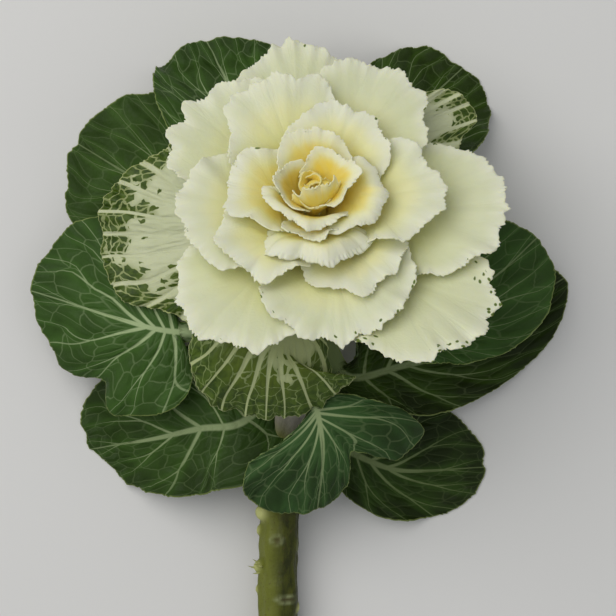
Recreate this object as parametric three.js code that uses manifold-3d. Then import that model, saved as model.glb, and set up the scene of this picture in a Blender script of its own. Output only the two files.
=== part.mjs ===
// Ornamental kale: a cut stem with its cream rosette and green outer leaves, laid down on a table.
// Millimetres, +Z up. The head faces up, and the stem lies along -Y with its cut end at the front.
import * as THREE from 'three';
import { mergeVertices } from 'three/addons/utils/BufferGeometryUtils.js';
import Module from 'manifold-3d';

const { sin, cos, PI, abs, min, max, exp, hypot, sign, floor } = Math;

// Stem: it lies on the table, then bends up at the neck into the tapering core that carries the rosette
const STEM_RADIUS = 6.6;
const NECK_SWELLING = 1.2;
const SWELLING_REACH = 14;
const NECK = [2, 21, 38];
const HEAD_TILT = 28;
const CORE_HEIGHT = 37;
const CORE_TAPER = 0.8;
const BUD_RADIUS = 2;
const STEM_PATH = [
  [-10, -214, 6.4], [-10.5, -180, 6.8], [-10.8, -140, 7.6], [-10.3, -102, 9.2],
  [-9.6, -67, 12], [-7.6, -42, 14.6], [-3.6, -18, 17.2], [-0.5, 0, 20.6], [1.3, 12, 27],
];

// Buds and leaf stubs on the stem: height from the neck, angle round the stem (180 left, 270 up)
const STEM_NODES = [
  { height: -96, angle: 196, size: 3, reach: 1.9 },
  { height: -103, angle: 178, size: 1.5, reach: 0.8 },
  { height: -115, angle: 190, size: 2, reach: 1.6 },
  { height: -129, angle: 340, size: 2.2, reach: 0.9 },
  { height: -152, angle: 205, size: 2, reach: 0.8 },
  { height: -178, angle: 320, size: 2.3, reach: 0.9 },
];

// Blades: thickness, depth of the midrib under the blade, gap to the stem and depth of the root in it
const BLADE_THICKNESS = 0.8;
const RIB_DEPTH = { green: 1.2, variegated: 1.0, cream: 0.5 };
const RIB_TIP_SHARE = 0.35;
const STEM_GAP = 0.3;
const ROOTING = 1;
const FLOOR_EASE = 2;
const INNERMOST_BOWL = 4;
const ALMOST_FLAT = 0.01;

// How far the midrib is followed past the tip, as a share of the leaf's length
const SPINE_REACH = 1.3;

// Shape of a blade's outline and how its edge waves
const SHOULDER = 0.6;
const TAIL_TAPER = 0.8;
const TIP_ROUNDING = 0.08;
const VEIN_CROWDING = 1.2;
const SCALLOP_PITCH = 23;
const WAVE_GROWTH = 2.2;
const FOOT_CALM = 0.12;
const WAVES = [
  { share: 0.6, pitch: 1, seed: 1.9, start: 0 },
  { share: 0.4, pitch: 1.73, seed: 3.1, start: 1 },
  { share: 0.25, pitch: 2.9, seed: 4.7, start: 2 },
];

// Fineness of the faceted surfaces. A grid is columns from tip to foot and rows from midrib to margin.
const GRID = [11, 4];
const INNER_GRID = [9, 3];
const HEART_GRID = [4, 2];
const STEM_SIDES = 14;
const STEM_RING_STEP = 17;
const CORE_RING_STEP = 5;
const CORE_RINGS_FROM = -30;
const BALL_DETAIL = 1;
const PATH_STEPS = 16;
const SPINE_STEPS = 60;
const SIMPLIFY = 0.04;

const COLOURS = {
  green: { color: 0x35603a, roughness: 0.55 },
  variegated: { color: 0xb9c99b, roughness: 0.55 },
  cream: { color: 0xf1eed6, roughness: 0.5 },
  heart: { color: 0xe2c765, roughness: 0.5 },
  stem: { color: 0x8a9a4e, roughness: 0.5 },
};

// What a leaf has when its row does not say otherwise. petiole, blade and pinnate are shares:
// of the length that is petiole, of the margin that is blade, and of the blade that the fan of veins climbs.
const LEAF = {
  petiole: 0.15, petioleHalf: 3.5, fullness: [0.62, 0.5], blade: 0.86, pinnate: 0.35, cup: [0, 0],
  flare: 0, ruffle: 2, waves: 3.5, ahead: [0, 0], trim: [], scallop: 0.6, grid: GRID,
};
const GREEN_SCALLOP = 0.25;
const CREAM = { kind: 'cream', fullness: [0.7, 0.42], petiole: 0.26 };
const HEART = {
  ...CREAM, petiole: 0.2, petioleHalf: 1.5, ruffle: 0.5, scallop: 0.2, grid: HEART_GRID,
};
const UP = [0, 0, 1];

// Leaves on the stem below the head: a spine of points from the stem outward, and the way the blade faces.
// width is the half width on the clockwise and on the other side of the midrib, seen from above.
// trim draws the margin out or in by millimetres at places from -1 (foot) over 0 (tip) to 1 (foot).
const OUTER_LEAVES = [
  { name: 'green_leaf_upper_left', kind: 'green', height: -16, seed: 1, petiole: 0.25, width: [31, 27],
    cup: [10, 10], pinnate: 0.3, spine: [[-31, 31, 21], [-53, 41, 11], [-80, 57, -9]],
    facing: [UP, UP, [-0.3, 0.1, 1]] },
  { name: 'green_leaf_top_left', kind: 'green', height: -6, seed: 2, petiole: 0.2, width: [24, 25],
    cup: [8, 8], pinnate: 0.3, spine: [[-14, 47, 31], [-24, 70, 20], [-35, 93, -10]],
    facing: [UP, [0.1, 0.3, 1], [0.15, 0.5, 1]] },
  { name: 'green_leaf_top_right', kind: 'green', height: -10, seed: 3, petiole: 0.2, width: [23, 21],
    cup: [8, 8], pinnate: 0.4, spine: [[14, 46, 28], [34, 65, 19], [54, 84, -9]],
    facing: [UP, [0.1, 0.3, 1], [0.1, 0.4, 1]] },
  { name: 'green_leaf_left', kind: 'green', height: -26, seed: 4, petiole: 0.42, width: [30, 38],
    cup: [-10, -25], pinnate: 0.22, ruffle: 3, ahead: [2, -12], fullness: [0.62, 0.38],
    spine: [[-20, -6, 27], [-44, -8, 32], [-66, -3, 27], [-93, 6, 11]],
    facing: [UP, UP, [-0.2, -0.1, 1]], trim: [[0, 0], [0.12, -5], [0.28, -17], [0.45, -6], [0.65, 0]] },
  { name: 'green_leaf_lower_left', kind: 'green', height: -58, seed: 5, petiole: 0.08, width: [28, 20],
    ahead: [0, -9], fullness: [0.52, 0.5], cup: [10, 10], pinnate: 0.6,
    spine: [[-23, -39, 22], [-37, -41, 19], [-54, -45, 11], [-76, -49, -8]],
    facing: [UP, UP, [0, -0.1, 1]] },
  { name: 'green_leaf_front', kind: 'green', height: -44, seed: 6, petiole: 0.4, width: [25, 40],
    ahead: [5, -6], cup: [-15, -50], pinnate: 0.12, fullness: [0.9, 0.4],
    spine: [[0, -25, 39], [3, -34, 44], [5, -49, 41], [3, -70, 27]],
    facing: [[0, -0.1, 1], [-0.05, -0.2, 1], [0, -0.4, 1]],
    trim: [[-0.03, 0], [0.14, -27], [0.28, -14], [0.45, 0]] },
  { name: 'green_leaf_lower_right', kind: 'green', height: -66, seed: 7, petiole: 0.2, width: [15, 22],
    cup: [10, 10], pinnate: 0.5, spine: [[2, -47, 11], [13, -49, 9], [32, -56, 4], [61, -55, -8]] },
  { name: 'green_leaf_right', kind: 'green', height: -34, seed: 8, petiole: 0.15, width: [18, 22],
    cup: [10, 10], pinnate: 0.5, spine: [[13, -23, 22], [31, -20, 17], [49, -14, 10], [88, 10, -9]] },
  { name: 'green_leaf_upper_right', kind: 'green', height: -20, seed: 9, petiole: 0.25, width: [22, 22],
    cup: [10, 10], pinnate: 0.4, spine: [[21, -7, 30], [41, 1, 28], [61, 9, 25], [78, 24, 20]] },
  { name: 'variegated_leaf_top_right', kind: 'variegated', height: 0, seed: 10, petiole: 0.2, width: [14, 9],
    cup: [8, 8], ruffle: 1, spine: [[14, 49, 35], [34, 60, 36], [55, 69, 32]] },
  { name: 'variegated_leaf_left', kind: 'variegated', height: -3, seed: 11, petiole: 0.1, width: [27, 29],
    cup: [5, 5], pinnate: 0.25, spine: [[-19, 29, 39], [-44, 25, 37], [-70, 25, 30]],
    facing: [UP, UP, [-0.1, 0, 1]], trim: [[0.2, 0], [0.33, -4], [0.45, 0]] },
  { name: 'variegated_leaf_front', kind: 'variegated', height: -12, seed: 12, petiole: 0.3, width: [25, 27],
    cup: [-20, -20], pinnate: 0.2, spine: [[-6, -6, 52], [-11, -13, 58], [-13, -22, 58], [-14, -37, 46]],
    facing: [[0, -0.1, 1], [0, -0.3, 1], [0, -0.6, 1]] },
];

// Leaves of the rosette, tier by tier from the outside in. heading: 0 right, 90 away from the stem's cut end.
// rise is the slope of the midrib against the head's ground plane, at the foot and at the tip.
const ROSETTE_LEAVES = [
  { name: 'cream_leaf_1_top', height: 5, heading: 98, length: 62, width: [19, 19], rise: [38, 2], seed: 21 },
  { name: 'cream_leaf_1_upper_left', height: 8, heading: 138, length: 56, width: [26, 24], rise: [45, 0],
    seed: 22 },
  { name: 'cream_leaf_1_upper_right', height: 9, heading: 63, length: 57, width: [22, 22], rise: [48, 0],
    seed: 23 },
  { name: 'cream_leaf_1_right', height: 6, heading: 0, length: 62, width: [24, 24], rise: [40, 0], seed: 24 },
  { name: 'cream_leaf_1_lower_right', height: 2, heading: -43, length: 68, width: [26, 25], rise: [34.5, 0],
    seed: 25 },
  { name: 'cream_leaf_1_front', height: 10, heading: -74, length: 49, width: [27, 27], rise: [50, -10],
    seed: 26, ruffle: 3 },
  { name: 'cream_leaf_1_lower_left', height: 6, heading: -128, length: 57, width: [23, 23], rise: [45, -10],
    seed: 27 },
  { name: 'cream_leaf_1_left', height: 12, heading: 188, length: 46, width: [22, 22], rise: [54, 0],
    seed: 28 },
  { name: 'cream_leaf_2_top', height: 13, heading: 112, length: 49, width: [22, 22], rise: [60, 5], seed: 31,
    trim: [[0.15, 0], [0.3, -3], [0.45, 0]] },
  { name: 'cream_leaf_2_upper_right', height: 16, heading: 67, length: 38, width: [19, 18], rise: [62, 10],
    seed: 32 },
  { name: 'cream_leaf_2_right', height: 13.5, heading: 3, length: 45, width: [18, 19], rise: [60, 0],
    seed: 33 },
  { name: 'cream_leaf_2_lower_right', height: 12.4, heading: -52, length: 38.5, width: [18, 16.5],
    rise: [57, 0], seed: 34, petiole: 0.33 },
  { name: 'cream_leaf_2_lower_left', height: 15, heading: 226, length: 38, width: [19, 14], rise: [59, 2],
    seed: 35, petiole: 0.33, petioleHalf: 3, ruffle: 1.7 },
  { name: 'cream_leaf_3_top', height: 20, heading: 92, length: 29, width: [11, 11], rise: [74, 32], seed: 41,
    ruffle: 0.8, petiole: 0.3 },
  { name: 'cream_leaf_3_left', height: 18.3, heading: 175, length: 33, width: [14, 12.5], rise: [69, 5],
    seed: 42, ruffle: 1, petiole: 0.3 },
  { name: 'cream_leaf_3_right', height: 19.5, heading: -5, length: 31, width: [11.5, 10], rise: [77, 17],
    seed: 43, ruffle: 1, flare: 2, petiole: 0.3 },
  { name: 'cream_leaf_3_front', height: 17.4, heading: -83, length: 35, width: [10, 11], rise: [72, 8],
    seed: 44, ruffle: 1, flare: 2, petiole: 0.3, petioleHalf: 3 },
  { name: 'cream_leaf_3_lower_left', height: 22, heading: 245, length: 26, width: [11.5, 12], rise: [77, 45],
    seed: 45, ruffle: 1, flare: 1.5, petiole: 0.3 },
  { name: 'cream_leaf_4_left', height: 24.5, heading: 150, length: 23, width: [11, 8], rise: [75, 50],
    seed: 51, ruffle: 0.6, petiole: 0.3, petioleHalf: 2.5, grid: INNER_GRID },
  { name: 'cream_leaf_4_right', height: 26.5, heading: 27, length: 23, width: [9, 12], rise: [81, 45],
    seed: 52, ruffle: 0.5, petiole: 0.3, petioleHalf: 2.5, grid: INNER_GRID },
  { name: 'cream_leaf_3_lower', height: 19.5, heading: -95, length: 24, width: [5, 3.8], rise: [73, 34],
    seed: 46, ruffle: 0.6, petiole: 0.3, petioleHalf: 2.5, grid: INNER_GRID },
  { name: 'cream_leaf_4_front', height: 25, heading: -88, length: 16, width: [4.2, 3], rise: [77, 61],
    seed: 54, ruffle: 0.5, petiole: 0.3, petioleHalf: 2, grid: INNER_GRID },
  { name: 'cream_leaf_5_front', height: 29.5, heading: -78, length: 13.5, width: [5.5, 4.5], rise: [80, 68],
    seed: 53, ruffle: 0.4, petiole: 0.2, petioleHalf: 2, grid: INNER_GRID },
];

// Tiny folded leaves of the heart, fused into one piece with the bud that carries them
const HEART_LEAVES = [
  { height: 35, heading: 165, length: 9, width: [4, 4], rise: [84, 50], seed: 61 },
  { height: 35, heading: 45, length: 9, width: [4, 4], rise: [84, 50], seed: 62 },
  { height: 36.5, heading: 285, length: 4, width: [2, 2], rise: [86, 60], seed: 63 },
  { height: 36, heading: 105, length: 7, width: [3, 3], rise: [88, 40], seed: 64 },
];

const V = (p) => new THREE.Vector3(p[0], p[1], p[2]);
const rad = THREE.MathUtils.degToRad;
const mix = (a, b, t) => a + (b - a) * t;
const clamp = (x, low, high) => min(high, max(low, x));

// Smooth curve through points, as a fine list with running length
function smoothPath(points, steps) {
  const at = (i) => {
    if (i < 0) return points[0].clone().multiplyScalar(2).sub(points[1]);
    if (i >= points.length) return points.at(-1).clone().multiplyScalar(2).sub(points.at(-2));
    return points[i];
  };
  const list = [];
  for (let i = 0; i < points.length - 1; i += 1) {
    const [a, b, c, d] = [at(i - 1), at(i), at(i + 1), at(i + 2)];
    for (let k = 0; k < steps; k += 1) {
      const t = k / steps;
      const p = b.clone().multiplyScalar(2);
      p.add(c.clone().sub(a).multiplyScalar(t));
      p.addScaledVector(a, 2 * t * t - t ** 3).addScaledVector(b, 3 * t ** 3 - 5 * t * t);
      p.addScaledVector(c, 4 * t * t - 3 * t ** 3).addScaledVector(d, t ** 3 - t * t);
      list.push(p.multiplyScalar(0.5));
    }
  }
  list.push(points.at(-1).clone());
  const arc = [0];
  for (let i = 1; i < list.length; i += 1) arc.push(arc[i - 1] + list[i].distanceTo(list[i - 1]));
  return { points: list, arc };
}

function alongPath({ points, arc }, s) {
  if (s <= 0) return points[0].clone();
  for (let i = 1; i < arc.length; i += 1) {
    if (s <= arc[i]) return points[i - 1].clone().lerp(points[i], (s - arc[i - 1]) / (arc[i] - arc[i - 1]));
  }
  return points.at(-1).clone();
}

// Unit direction of a path at running length s, taken over a short stretch on both sides
function heading(path, s, reach) {
  return alongPath(path, s + reach).sub(alongPath(path, s - reach)).normalize();
}

const axisDirection = new THREE.Vector3(0, sin(rad(HEAD_TILT)), cos(rad(HEAD_TILT)));
const neck = V(NECK);
const coreMiddle = neck.clone().addScaledVector(axisDirection, CORE_HEIGHT / 2);
const coreTop = neck.clone().addScaledVector(axisDirection, CORE_HEIGHT + BUD_RADIUS);
const stemLine = smoothPath([...STEM_PATH.map(V), neck, coreMiddle, coreTop], PATH_STEPS);
const neckArc = stemLine.arc[STEM_PATH.length * PATH_STEPS];

// Point, direction and cross directions of the stem line at a height above (or below) the neck
function stemFrame(height) {
  const p = alongPath(stemLine, neckArc + height);
  const d = heading(stemLine, neckArc + height, 1);
  const ex = new THREE.Vector3(1, 0, 0);
  ex.addScaledVector(d, -ex.dot(d)).normalize();
  return { p, d, ex, ey: new THREE.Vector3().crossVectors(d, ex) };
}

function stemRadius(height) {
  if (height < 0) return STEM_RADIUS + NECK_SWELLING * exp(-((height / SWELLING_REACH) ** 2));
  return (STEM_RADIUS + NECK_SWELLING) * (1 - (CORE_TAPER * height) / CORE_HEIGHT);
}

// Millimetres the margin is drawn in or out at phi
function marginTrim({ trim }, phi) {
  for (let i = 1; i < trim.length; i += 1) {
    const [p0, d0] = trim[i - 1];
    const [p1, d1] = trim[i];
    if (phi >= p0 && phi <= p1) return mix(d0, d1, (1 - cos((PI * (phi - p0)) / (p1 - p0))) / 2);
  }
  return 0;
}

// Flat outline of a blade. phi runs from -1 (foot) over 0 (tip) to 1 (foot on the other side).
// start is where the vein leaves the midrib, and a and b are where it meets the margin, along and across.
function outline(leaf, phi) {
  const foot = leaf.petiole * leaf.length;
  const reach = leaf.length - foot;
  const f = abs(phi);
  const side = phi < 0 ? 0 : 1;
  if (f > leaf.blade) {
    const a = foot * (1 - (f - leaf.blade) / (1 - leaf.blade));
    return { start: a, a, b: sign(phi) * leaf.petioleHalf };
  }
  const [alpha, beta] = leaf.fullness;
  const peak = (alpha / (alpha + beta)) ** alpha * (beta / (alpha + beta)) ** beta;
  const u = f / leaf.blade;
  const y = (1 + cos(PI * u)) / 2;
  const swell = (y ** alpha * (1 - y) ** beta) / peak;
  const tail = leaf.petioleHalf * (1 - y) ** TAIL_TAPER * min(1, f / TIP_ROUNDING);
  const a = foot + reach * y + leaf.ahead[side] * sin(PI * u) ** SHOULDER;
  const b = sign(phi) * (leaf.width[side] * swell + tail);
  const centre = foot + reach * leaf.pinnate;
  const scallop = leaf.scallop * sin(phi * SCALLOP_PITCH + leaf.seed) * (1 - u ** 4);
  const k = 1 + (marginTrim(leaf, phi) + scallop) / max(hypot(a - centre, b), 1);
  return {
    start: foot + reach * leaf.pinnate * (1 - u) ** VEIN_CROWDING,
    a: centre + (a - centre) * k,
    b: b * k,
  };
}

// Frames along the midrib of an outer leaf: C on it, T along it, S across and N toward the upper face
function freeSpine(leaf) {
  const { p, d } = stemFrame(leaf.height);
  const first = V(leaf.spine[0]).sub(p);
  first.addScaledVector(d, -first.dot(d)).normalize();
  const start = p.clone().addScaledVector(first, stemRadius(leaf.height) - ROOTING);
  const path = smoothPath([start, ...leaf.spine.map(V)], PATH_STEPS);
  const length = path.arc.at(-1);
  const facing = leaf.facing.map(V);
  const frames = [];
  for (let i = 0; i <= SPINE_STEPS; i += 1) {
    const reach = (i / SPINE_STEPS) * SPINE_REACH;
    const t = min(1, reach);
    const T = heading(path, t * length, 1);
    const C = alongPath(path, t * length).addScaledVector(T, (reach - t) * length);
    const k = min(floor(t * (facing.length - 1)), facing.length - 2);
    const F = facing[k].clone().lerp(facing[k + 1], t * (facing.length - 1) - k);
    const N = F.addScaledVector(T, -F.dot(T)).normalize();
    frames.push({ C, T, N, S: new THREE.Vector3().crossVectors(N, T) });
  }
  return { length, frames };
}

// Frames along the midrib of a rosette leaf, whose blade wraps round the head's axis at distance r
function bowlSpine(leaf) {
  const { p, d, ex, ey } = stemFrame(leaf.height);
  const turn = rad(leaf.heading);
  const U = ex.clone().multiplyScalar(cos(turn)).addScaledVector(ey, sin(turn));
  const S = ey.clone().multiplyScalar(cos(turn)).addScaledVector(ex, -sin(turn));
  const step = (leaf.length * SPINE_REACH) / SPINE_STEPS;
  const C = p.clone().addScaledVector(U, stemRadius(leaf.height) - ROOTING);
  const frames = [];
  for (let i = 0; i <= SPINE_STEPS; i += 1) {
    const rise = rad(mix(leaf.rise[0], leaf.rise[1], (i / SPINE_STEPS) * SPINE_REACH));
    const T = U.clone().multiplyScalar(cos(rise)).addScaledVector(d, sin(rise));
    if (i > 0) C.addScaledVector(T, step / 2).addScaledVector(frames[i - 1].T, step / 2);
    const r = max(INNERMOST_BOWL, C.clone().sub(p).dot(U));
    frames.push({ C: C.clone(), T, N: new THREE.Vector3().crossVectors(T, S), S, r });
  }
  return { length: leaf.length, frames, axis: d };
}

function spineAt(spine, t) {
  const x = clamp((t / SPINE_REACH) * SPINE_STEPS, 0, SPINE_STEPS);
  const i = min(floor(x), SPINE_STEPS - 1);
  const [f, g] = [spine.frames[i], spine.frames[i + 1]];
  const blend = (key) => f[key].clone().lerp(g[key], x - i);
  return { C: blend('C'), S: blend('S').normalize(), N: blend('N').normalize(), r: mix(f.r, g.r, x - i) };
}

// A blade lies down softly on the table instead of passing through it
function rest(z, low) {
  if (z <= low - FLOOR_EASE) return low;
  if (z >= low + FLOOR_EASE) return z;
  return low + (z - low + FLOOR_EASE) ** 2 / (4 * FLOOR_EASE);
}

// Height of the waves at phi, as a share of the leaf's ruffle
function waveAt(leaf, phi) {
  const turn = phi * leaf.waves * PI;
  let sum = 0;
  for (const w of WAVES) sum += w.share * sin(w.pitch * turn + w.seed * leaf.seed + w.start);
  return sum;
}

// Upper face of the blade: phi round the margin, s from the midrib (0) to the margin (1)
function bladePoint(leaf, spine, phi, s) {
  const { start, a, b } = outline(leaf, phi);
  const across = b * s;
  const { C, S, N, r } = spineAt(spine, mix(start, a, s) / leaf.length);
  const side = across < 0 ? 0 : 1;
  const bend = rad(leaf.cup[side] || ALMOST_FLAT) / leaf.width[side];
  const lateral = (sign(across) * sin(bend * abs(across))) / bend;
  const calm = clamp((1 - abs(phi)) / FOOT_CALM, 0, 1);
  const lift = (1 - cos(bend * across)) / bend
    + leaf.ruffle * s ** WAVE_GROWTH * calm * waveAt(leaf, phi) - leaf.flare * s ** 3 * calm;
  const P = C.clone();
  if (spine.axis) {
    const psi = lateral / r;
    const inward = new THREE.Vector3().crossVectors(spine.axis, S);
    P.addScaledVector(S, r * sin(psi)).addScaledVector(inward, r * (1 - cos(psi)));
    P.addScaledVector(N.applyAxisAngle(spine.axis, psi), lift);
  } else {
    P.addScaledVector(S, lateral).addScaledVector(N, lift);
  }
  P.z = rest(P.z, BLADE_THICKNESS);
  return P;
}

function asGeometry(positions, triangles) {
  const geometry = new THREE.BufferGeometry();
  geometry.setAttribute('position', new THREE.Float32BufferAttribute(positions, 3));
  geometry.setIndex(triangles);
  return geometry;
}

// Closed blade: the same triangles on the upper face, the under face and a wall round the rim
function bladeGeometry(row) {
  const spine = row.spine ? freeSpine(row) : bowlSpine(row);
  const leaf = { ...row, length: spine.length };
  const [n, rows] = leaf.grid;
  const top = [];
  const ribs = [];
  for (let k = 0; k <= n; k += 1) {
    top.push(bladePoint(leaf, spine, k / n, 0));
    ribs.push(RIB_DEPTH[leaf.kind] * mix(RIB_TIP_SHARE, 1, k / n));
  }
  const index = [];
  for (let i = -n; i <= n; i += 1) {
    const column = [abs(i)];
    for (let j = 1; j <= rows; j += 1) {
      column.push(top.length);
      top.push(bladePoint(leaf, spine, i / n, j / rows));
      ribs.push(0);
    }
    index.push(column);
  }
  const faces = [];
  const rim = [];
  for (let i = 0; i < 2 * n; i += 1) {
    for (let j = 0; j < rows; j += 1) {
      const [a, b, c, d] = [index[i][j], index[i][j + 1], index[i + 1][j + 1], index[i + 1][j]];
      if ((i < n) === (j % 2 === 0)) faces.push([a, b, c], [a, c, d]);
      else faces.push([a, b, d], [b, c, d]);
    }
    rim.push([index[i][rows], index[i + 1][rows]]);
  }
  for (let j = 0; j < rows; j += 1) {
    rim.push([index[0][j], index[0][j + 1]]);
    rim.push([index[2 * n][j + 1], index[2 * n][j]]);
  }
  const normals = top.map(() => new THREE.Vector3());
  for (const [a, b, c] of faces) {
    const normal = top[b].clone().sub(top[a]).cross(top[c].clone().sub(top[a]));
    for (const v of [a, b, c]) normals[v].add(normal);
  }
  const positions = top.flatMap((p) => p.toArray());
  top.forEach((p, i) => {
    const under = p.clone().addScaledVector(normals[i].normalize(), -BLADE_THICKNESS - ribs[i]);
    positions.push(under.x, under.y, max(0, under.z));
  });
  const m = top.length;
  const triangles = [];
  for (const [a, b, c] of faces) triangles.push(a, b, c, a + m, c + m, b + m);
  for (const [a, b] of rim) triangles.push(b, a, a + m, b, a + m, b + m);
  return asGeometry(positions, triangles);
}

// Tube along the stem line, with a flat cut end. clearance swells it, to trim the leaves against it.
function stemGeometry(clearance) {
  const heights = [];
  for (let h = -neckArc; h < CORE_RINGS_FROM; h += STEM_RING_STEP) heights.push(h);
  for (let h = CORE_RINGS_FROM; h < CORE_HEIGHT; h += CORE_RING_STEP) heights.push(h);
  heights.push(CORE_HEIGHT);
  const positions = [];
  for (const h of heights) {
    const { p, ex, ey } = stemFrame(h);
    const radius = stemRadius(h) + clearance;
    for (let k = 0; k < STEM_SIDES; k += 1) {
      const angle = (k / STEM_SIDES) * 2 * PI;
      const v = p.clone().addScaledVector(ex, radius * cos(angle)).addScaledVector(ey, radius * sin(angle));
      positions.push(v.x, v.y, max(-clearance, v.z));
    }
  }
  const last = (heights.length - 1) * STEM_SIDES;
  const cutEnd = positions.length / 3;
  positions.push(...stemFrame(-neckArc).p.toArray(), ...stemFrame(CORE_HEIGHT).p.toArray());
  const triangles = [];
  for (let k = 0; k < STEM_SIDES; k += 1) {
    const next = (k + 1) % STEM_SIDES;
    for (let ring = 0; ring < last; ring += STEM_SIDES) {
      const [a, b, c, d] = [ring + k, ring + next, ring + next + STEM_SIDES, ring + k + STEM_SIDES];
      triangles.push(a, b, c, a, c, d);
    }
    triangles.push(cutEnd, next, k, cutEnd + 1, last + k, last + next);
  }
  return asGeometry(positions, triangles);
}

const manifold = await Module();
manifold.setup();

function toSolid(geometry) {
  return new manifold.Manifold(new manifold.Mesh({
    numProp: 3,
    vertProperties: new Float32Array(geometry.attributes.position.array),
    triVerts: new Uint32Array(geometry.index.array),
  }));
}

function toGeometry(solid) {
  const mesh = solid.getMesh();
  return asGeometry(mesh.vertProperties, Array.from(mesh.triVerts));
}

function ball(radius, place) {
  const geometry = new THREE.IcosahedronGeometry(radius, BALL_DETAIL).translate(...place.toArray());
  geometry.deleteAttribute('normal');
  geometry.deleteAttribute('uv');
  return toSolid(mergeVertices(geometry));
}

// Trim the foot of a leaf so that it sits against the stem with a hair's gap
const stemRoom = toSolid(stemGeometry(STEM_GAP));
function fitToStem(solid) {
  const pieces = solid.subtract(stemRoom).decompose();
  return toGeometry(pieces.sort((a, b) => b.volume() - a.volume())[0].simplify(SIMPLIFY));
}

function stemSolid() {
  let stem = toSolid(stemGeometry(0));
  for (const { height, angle, size, reach } of STEM_NODES) {
    const { p, ex, ey } = stemFrame(height);
    const way = ex.multiplyScalar(cos(rad(angle))).addScaledVector(ey, sin(rad(angle)));
    stem = stem.add(ball(size, p.addScaledVector(way, stemRadius(height) - size + reach)));
  }
  return stem;
}

function heartSolid() {
  const budPlace = stemFrame(CORE_HEIGHT).p.addScaledVector(axisDirection, BUD_RADIUS + STEM_GAP);
  let heart = ball(BUD_RADIUS, budPlace);
  for (const row of HEART_LEAVES) heart = heart.add(toSolid(bladeGeometry({ ...LEAF, ...HEART, ...row })));
  return heart;
}

const pieces = [{ name: 'stem', kind: 'stem', geometry: toGeometry(stemSolid()) }];
for (const row of OUTER_LEAVES) {
  const leaf = { ...LEAF, facing: [UP, UP, UP], ...row };
  if (leaf.kind === 'green') leaf.scallop = GREEN_SCALLOP;
  pieces.push({ name: leaf.name, kind: leaf.kind, geometry: fitToStem(toSolid(bladeGeometry(leaf))) });
}
for (const row of ROSETTE_LEAVES) {
  const leaf = { ...LEAF, ...CREAM, ...row };
  pieces.push({ name: leaf.name, kind: leaf.kind, geometry: fitToStem(toSolid(bladeGeometry(leaf))) });
}
pieces.push({ name: 'heart', kind: 'heart', geometry: fitToStem(heartSolid()) });

// Set the object down with the middle of its bottom at the origin
const box = new THREE.Box3();
for (const { geometry } of pieces) {
  geometry.computeBoundingBox();
  box.union(geometry.boundingBox);
}
const middle = box.getCenter(new THREE.Vector3());

const kale = new THREE.Group();
kale.name = 'ornamental_kale_stem';
for (const { name, kind, geometry } of pieces) {
  geometry.translate(-middle.x, -middle.y, -box.min.z);
  const mesh = new THREE.Mesh(geometry, new THREE.MeshStandardMaterial({ ...COLOURS[kind], metalness: 0 }));
  mesh.name = name;
  kale.add(mesh);
}

export default kale;
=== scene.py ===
# Ornamental kale stem: the fine leaves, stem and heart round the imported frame, with their finishes.
# Shapes are worked out in millimetres in a design frame with its origin under the middle of the view,
# and turned into metres in the frame's own place at the end.
import math
from functools import reduce
from types import SimpleNamespace

import bpy
import numpy as np
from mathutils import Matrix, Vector


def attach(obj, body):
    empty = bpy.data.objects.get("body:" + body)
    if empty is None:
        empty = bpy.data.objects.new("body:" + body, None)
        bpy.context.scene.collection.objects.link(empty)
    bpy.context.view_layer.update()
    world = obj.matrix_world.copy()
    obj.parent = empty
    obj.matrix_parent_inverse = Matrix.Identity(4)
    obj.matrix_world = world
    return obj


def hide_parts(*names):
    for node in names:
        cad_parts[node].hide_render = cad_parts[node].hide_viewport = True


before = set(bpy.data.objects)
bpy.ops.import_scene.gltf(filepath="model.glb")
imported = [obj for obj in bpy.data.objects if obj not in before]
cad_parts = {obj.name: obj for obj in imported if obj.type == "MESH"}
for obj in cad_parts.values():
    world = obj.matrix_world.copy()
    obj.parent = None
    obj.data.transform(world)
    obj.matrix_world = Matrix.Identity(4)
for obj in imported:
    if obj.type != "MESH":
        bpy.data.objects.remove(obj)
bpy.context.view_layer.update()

MM = 0.001

# Camera height over the table and its lens in mm, the floor and the lights in metres and watts, and the
# point in mm that the lights face
CAMERA_HEIGHT = 1100
CAMERA_LENS = 185.95
FLOOR_SIZE = 6
KEY_FROM, KEY_SIZE, KEY_POWER = (-0.5, 0.35, 0.95), 1.2, 7.5
FILL_FROM, FILL_SIZE, FILL_POWER = (0.7, -0.6, 1.0), 1.2, 0.8
WORLD_LIGHT = 0.38
KEY_COLOUR, FILL_COLOUR, WORLD_COLOUR = (1.0, 0.985, 0.95), (0.94, 0.97, 1.0), (0.95, 0.97, 1.0)
HEAD_CENTRE = (0, 0, 40)

# Stem and axis of the head
STEM_RADIUS = 6.6
NECK_SWELLING = 1.2
SWELLING_REACH = 14
NECK = (2, 21, 38)
HEAD_TILT = 28
CORE_HEIGHT = 37
CORE_TAPER = 0.8
BUD_RADIUS = 2
PATH_STEPS = 16
STEM_PATH = [
    (-10, -214, 6.4), (-10.5, -180, 6.8), (-10.8, -140, 7.6), (-10.3, -102, 9.2),
    (-9.6, -67, 12), (-7.6, -42, 14.6), (-3.6, -18, 17.2), (-0.5, 0, 20.6), (1.3, 12, 27),
]

# Buds and leaf stubs on the stem: height from the neck, angle round it (180 left, 270 up), size and reach
STEM_NODES = [
    (-99, 212, 2.8, 2.8), (-105.5, 184, 1.7, 1), (-118, 188, 1.9, 1.8), (-126, 182, 1.3, 0.7),
    (-132, 348, 1.8, 0.8), (-152, 205, 2, 0.8), (-178, 320, 2.3, 0.9),
]

# Scars of fallen leaves: height, angle, and half their length along and round the stem
SCARS = [(-108, 265, 1.5, 2.1), (-110, 345, 2.4, 1.6), (-128.5, 300, 1.2, 4), (-171, 240, 1.8, 3)]

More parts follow.
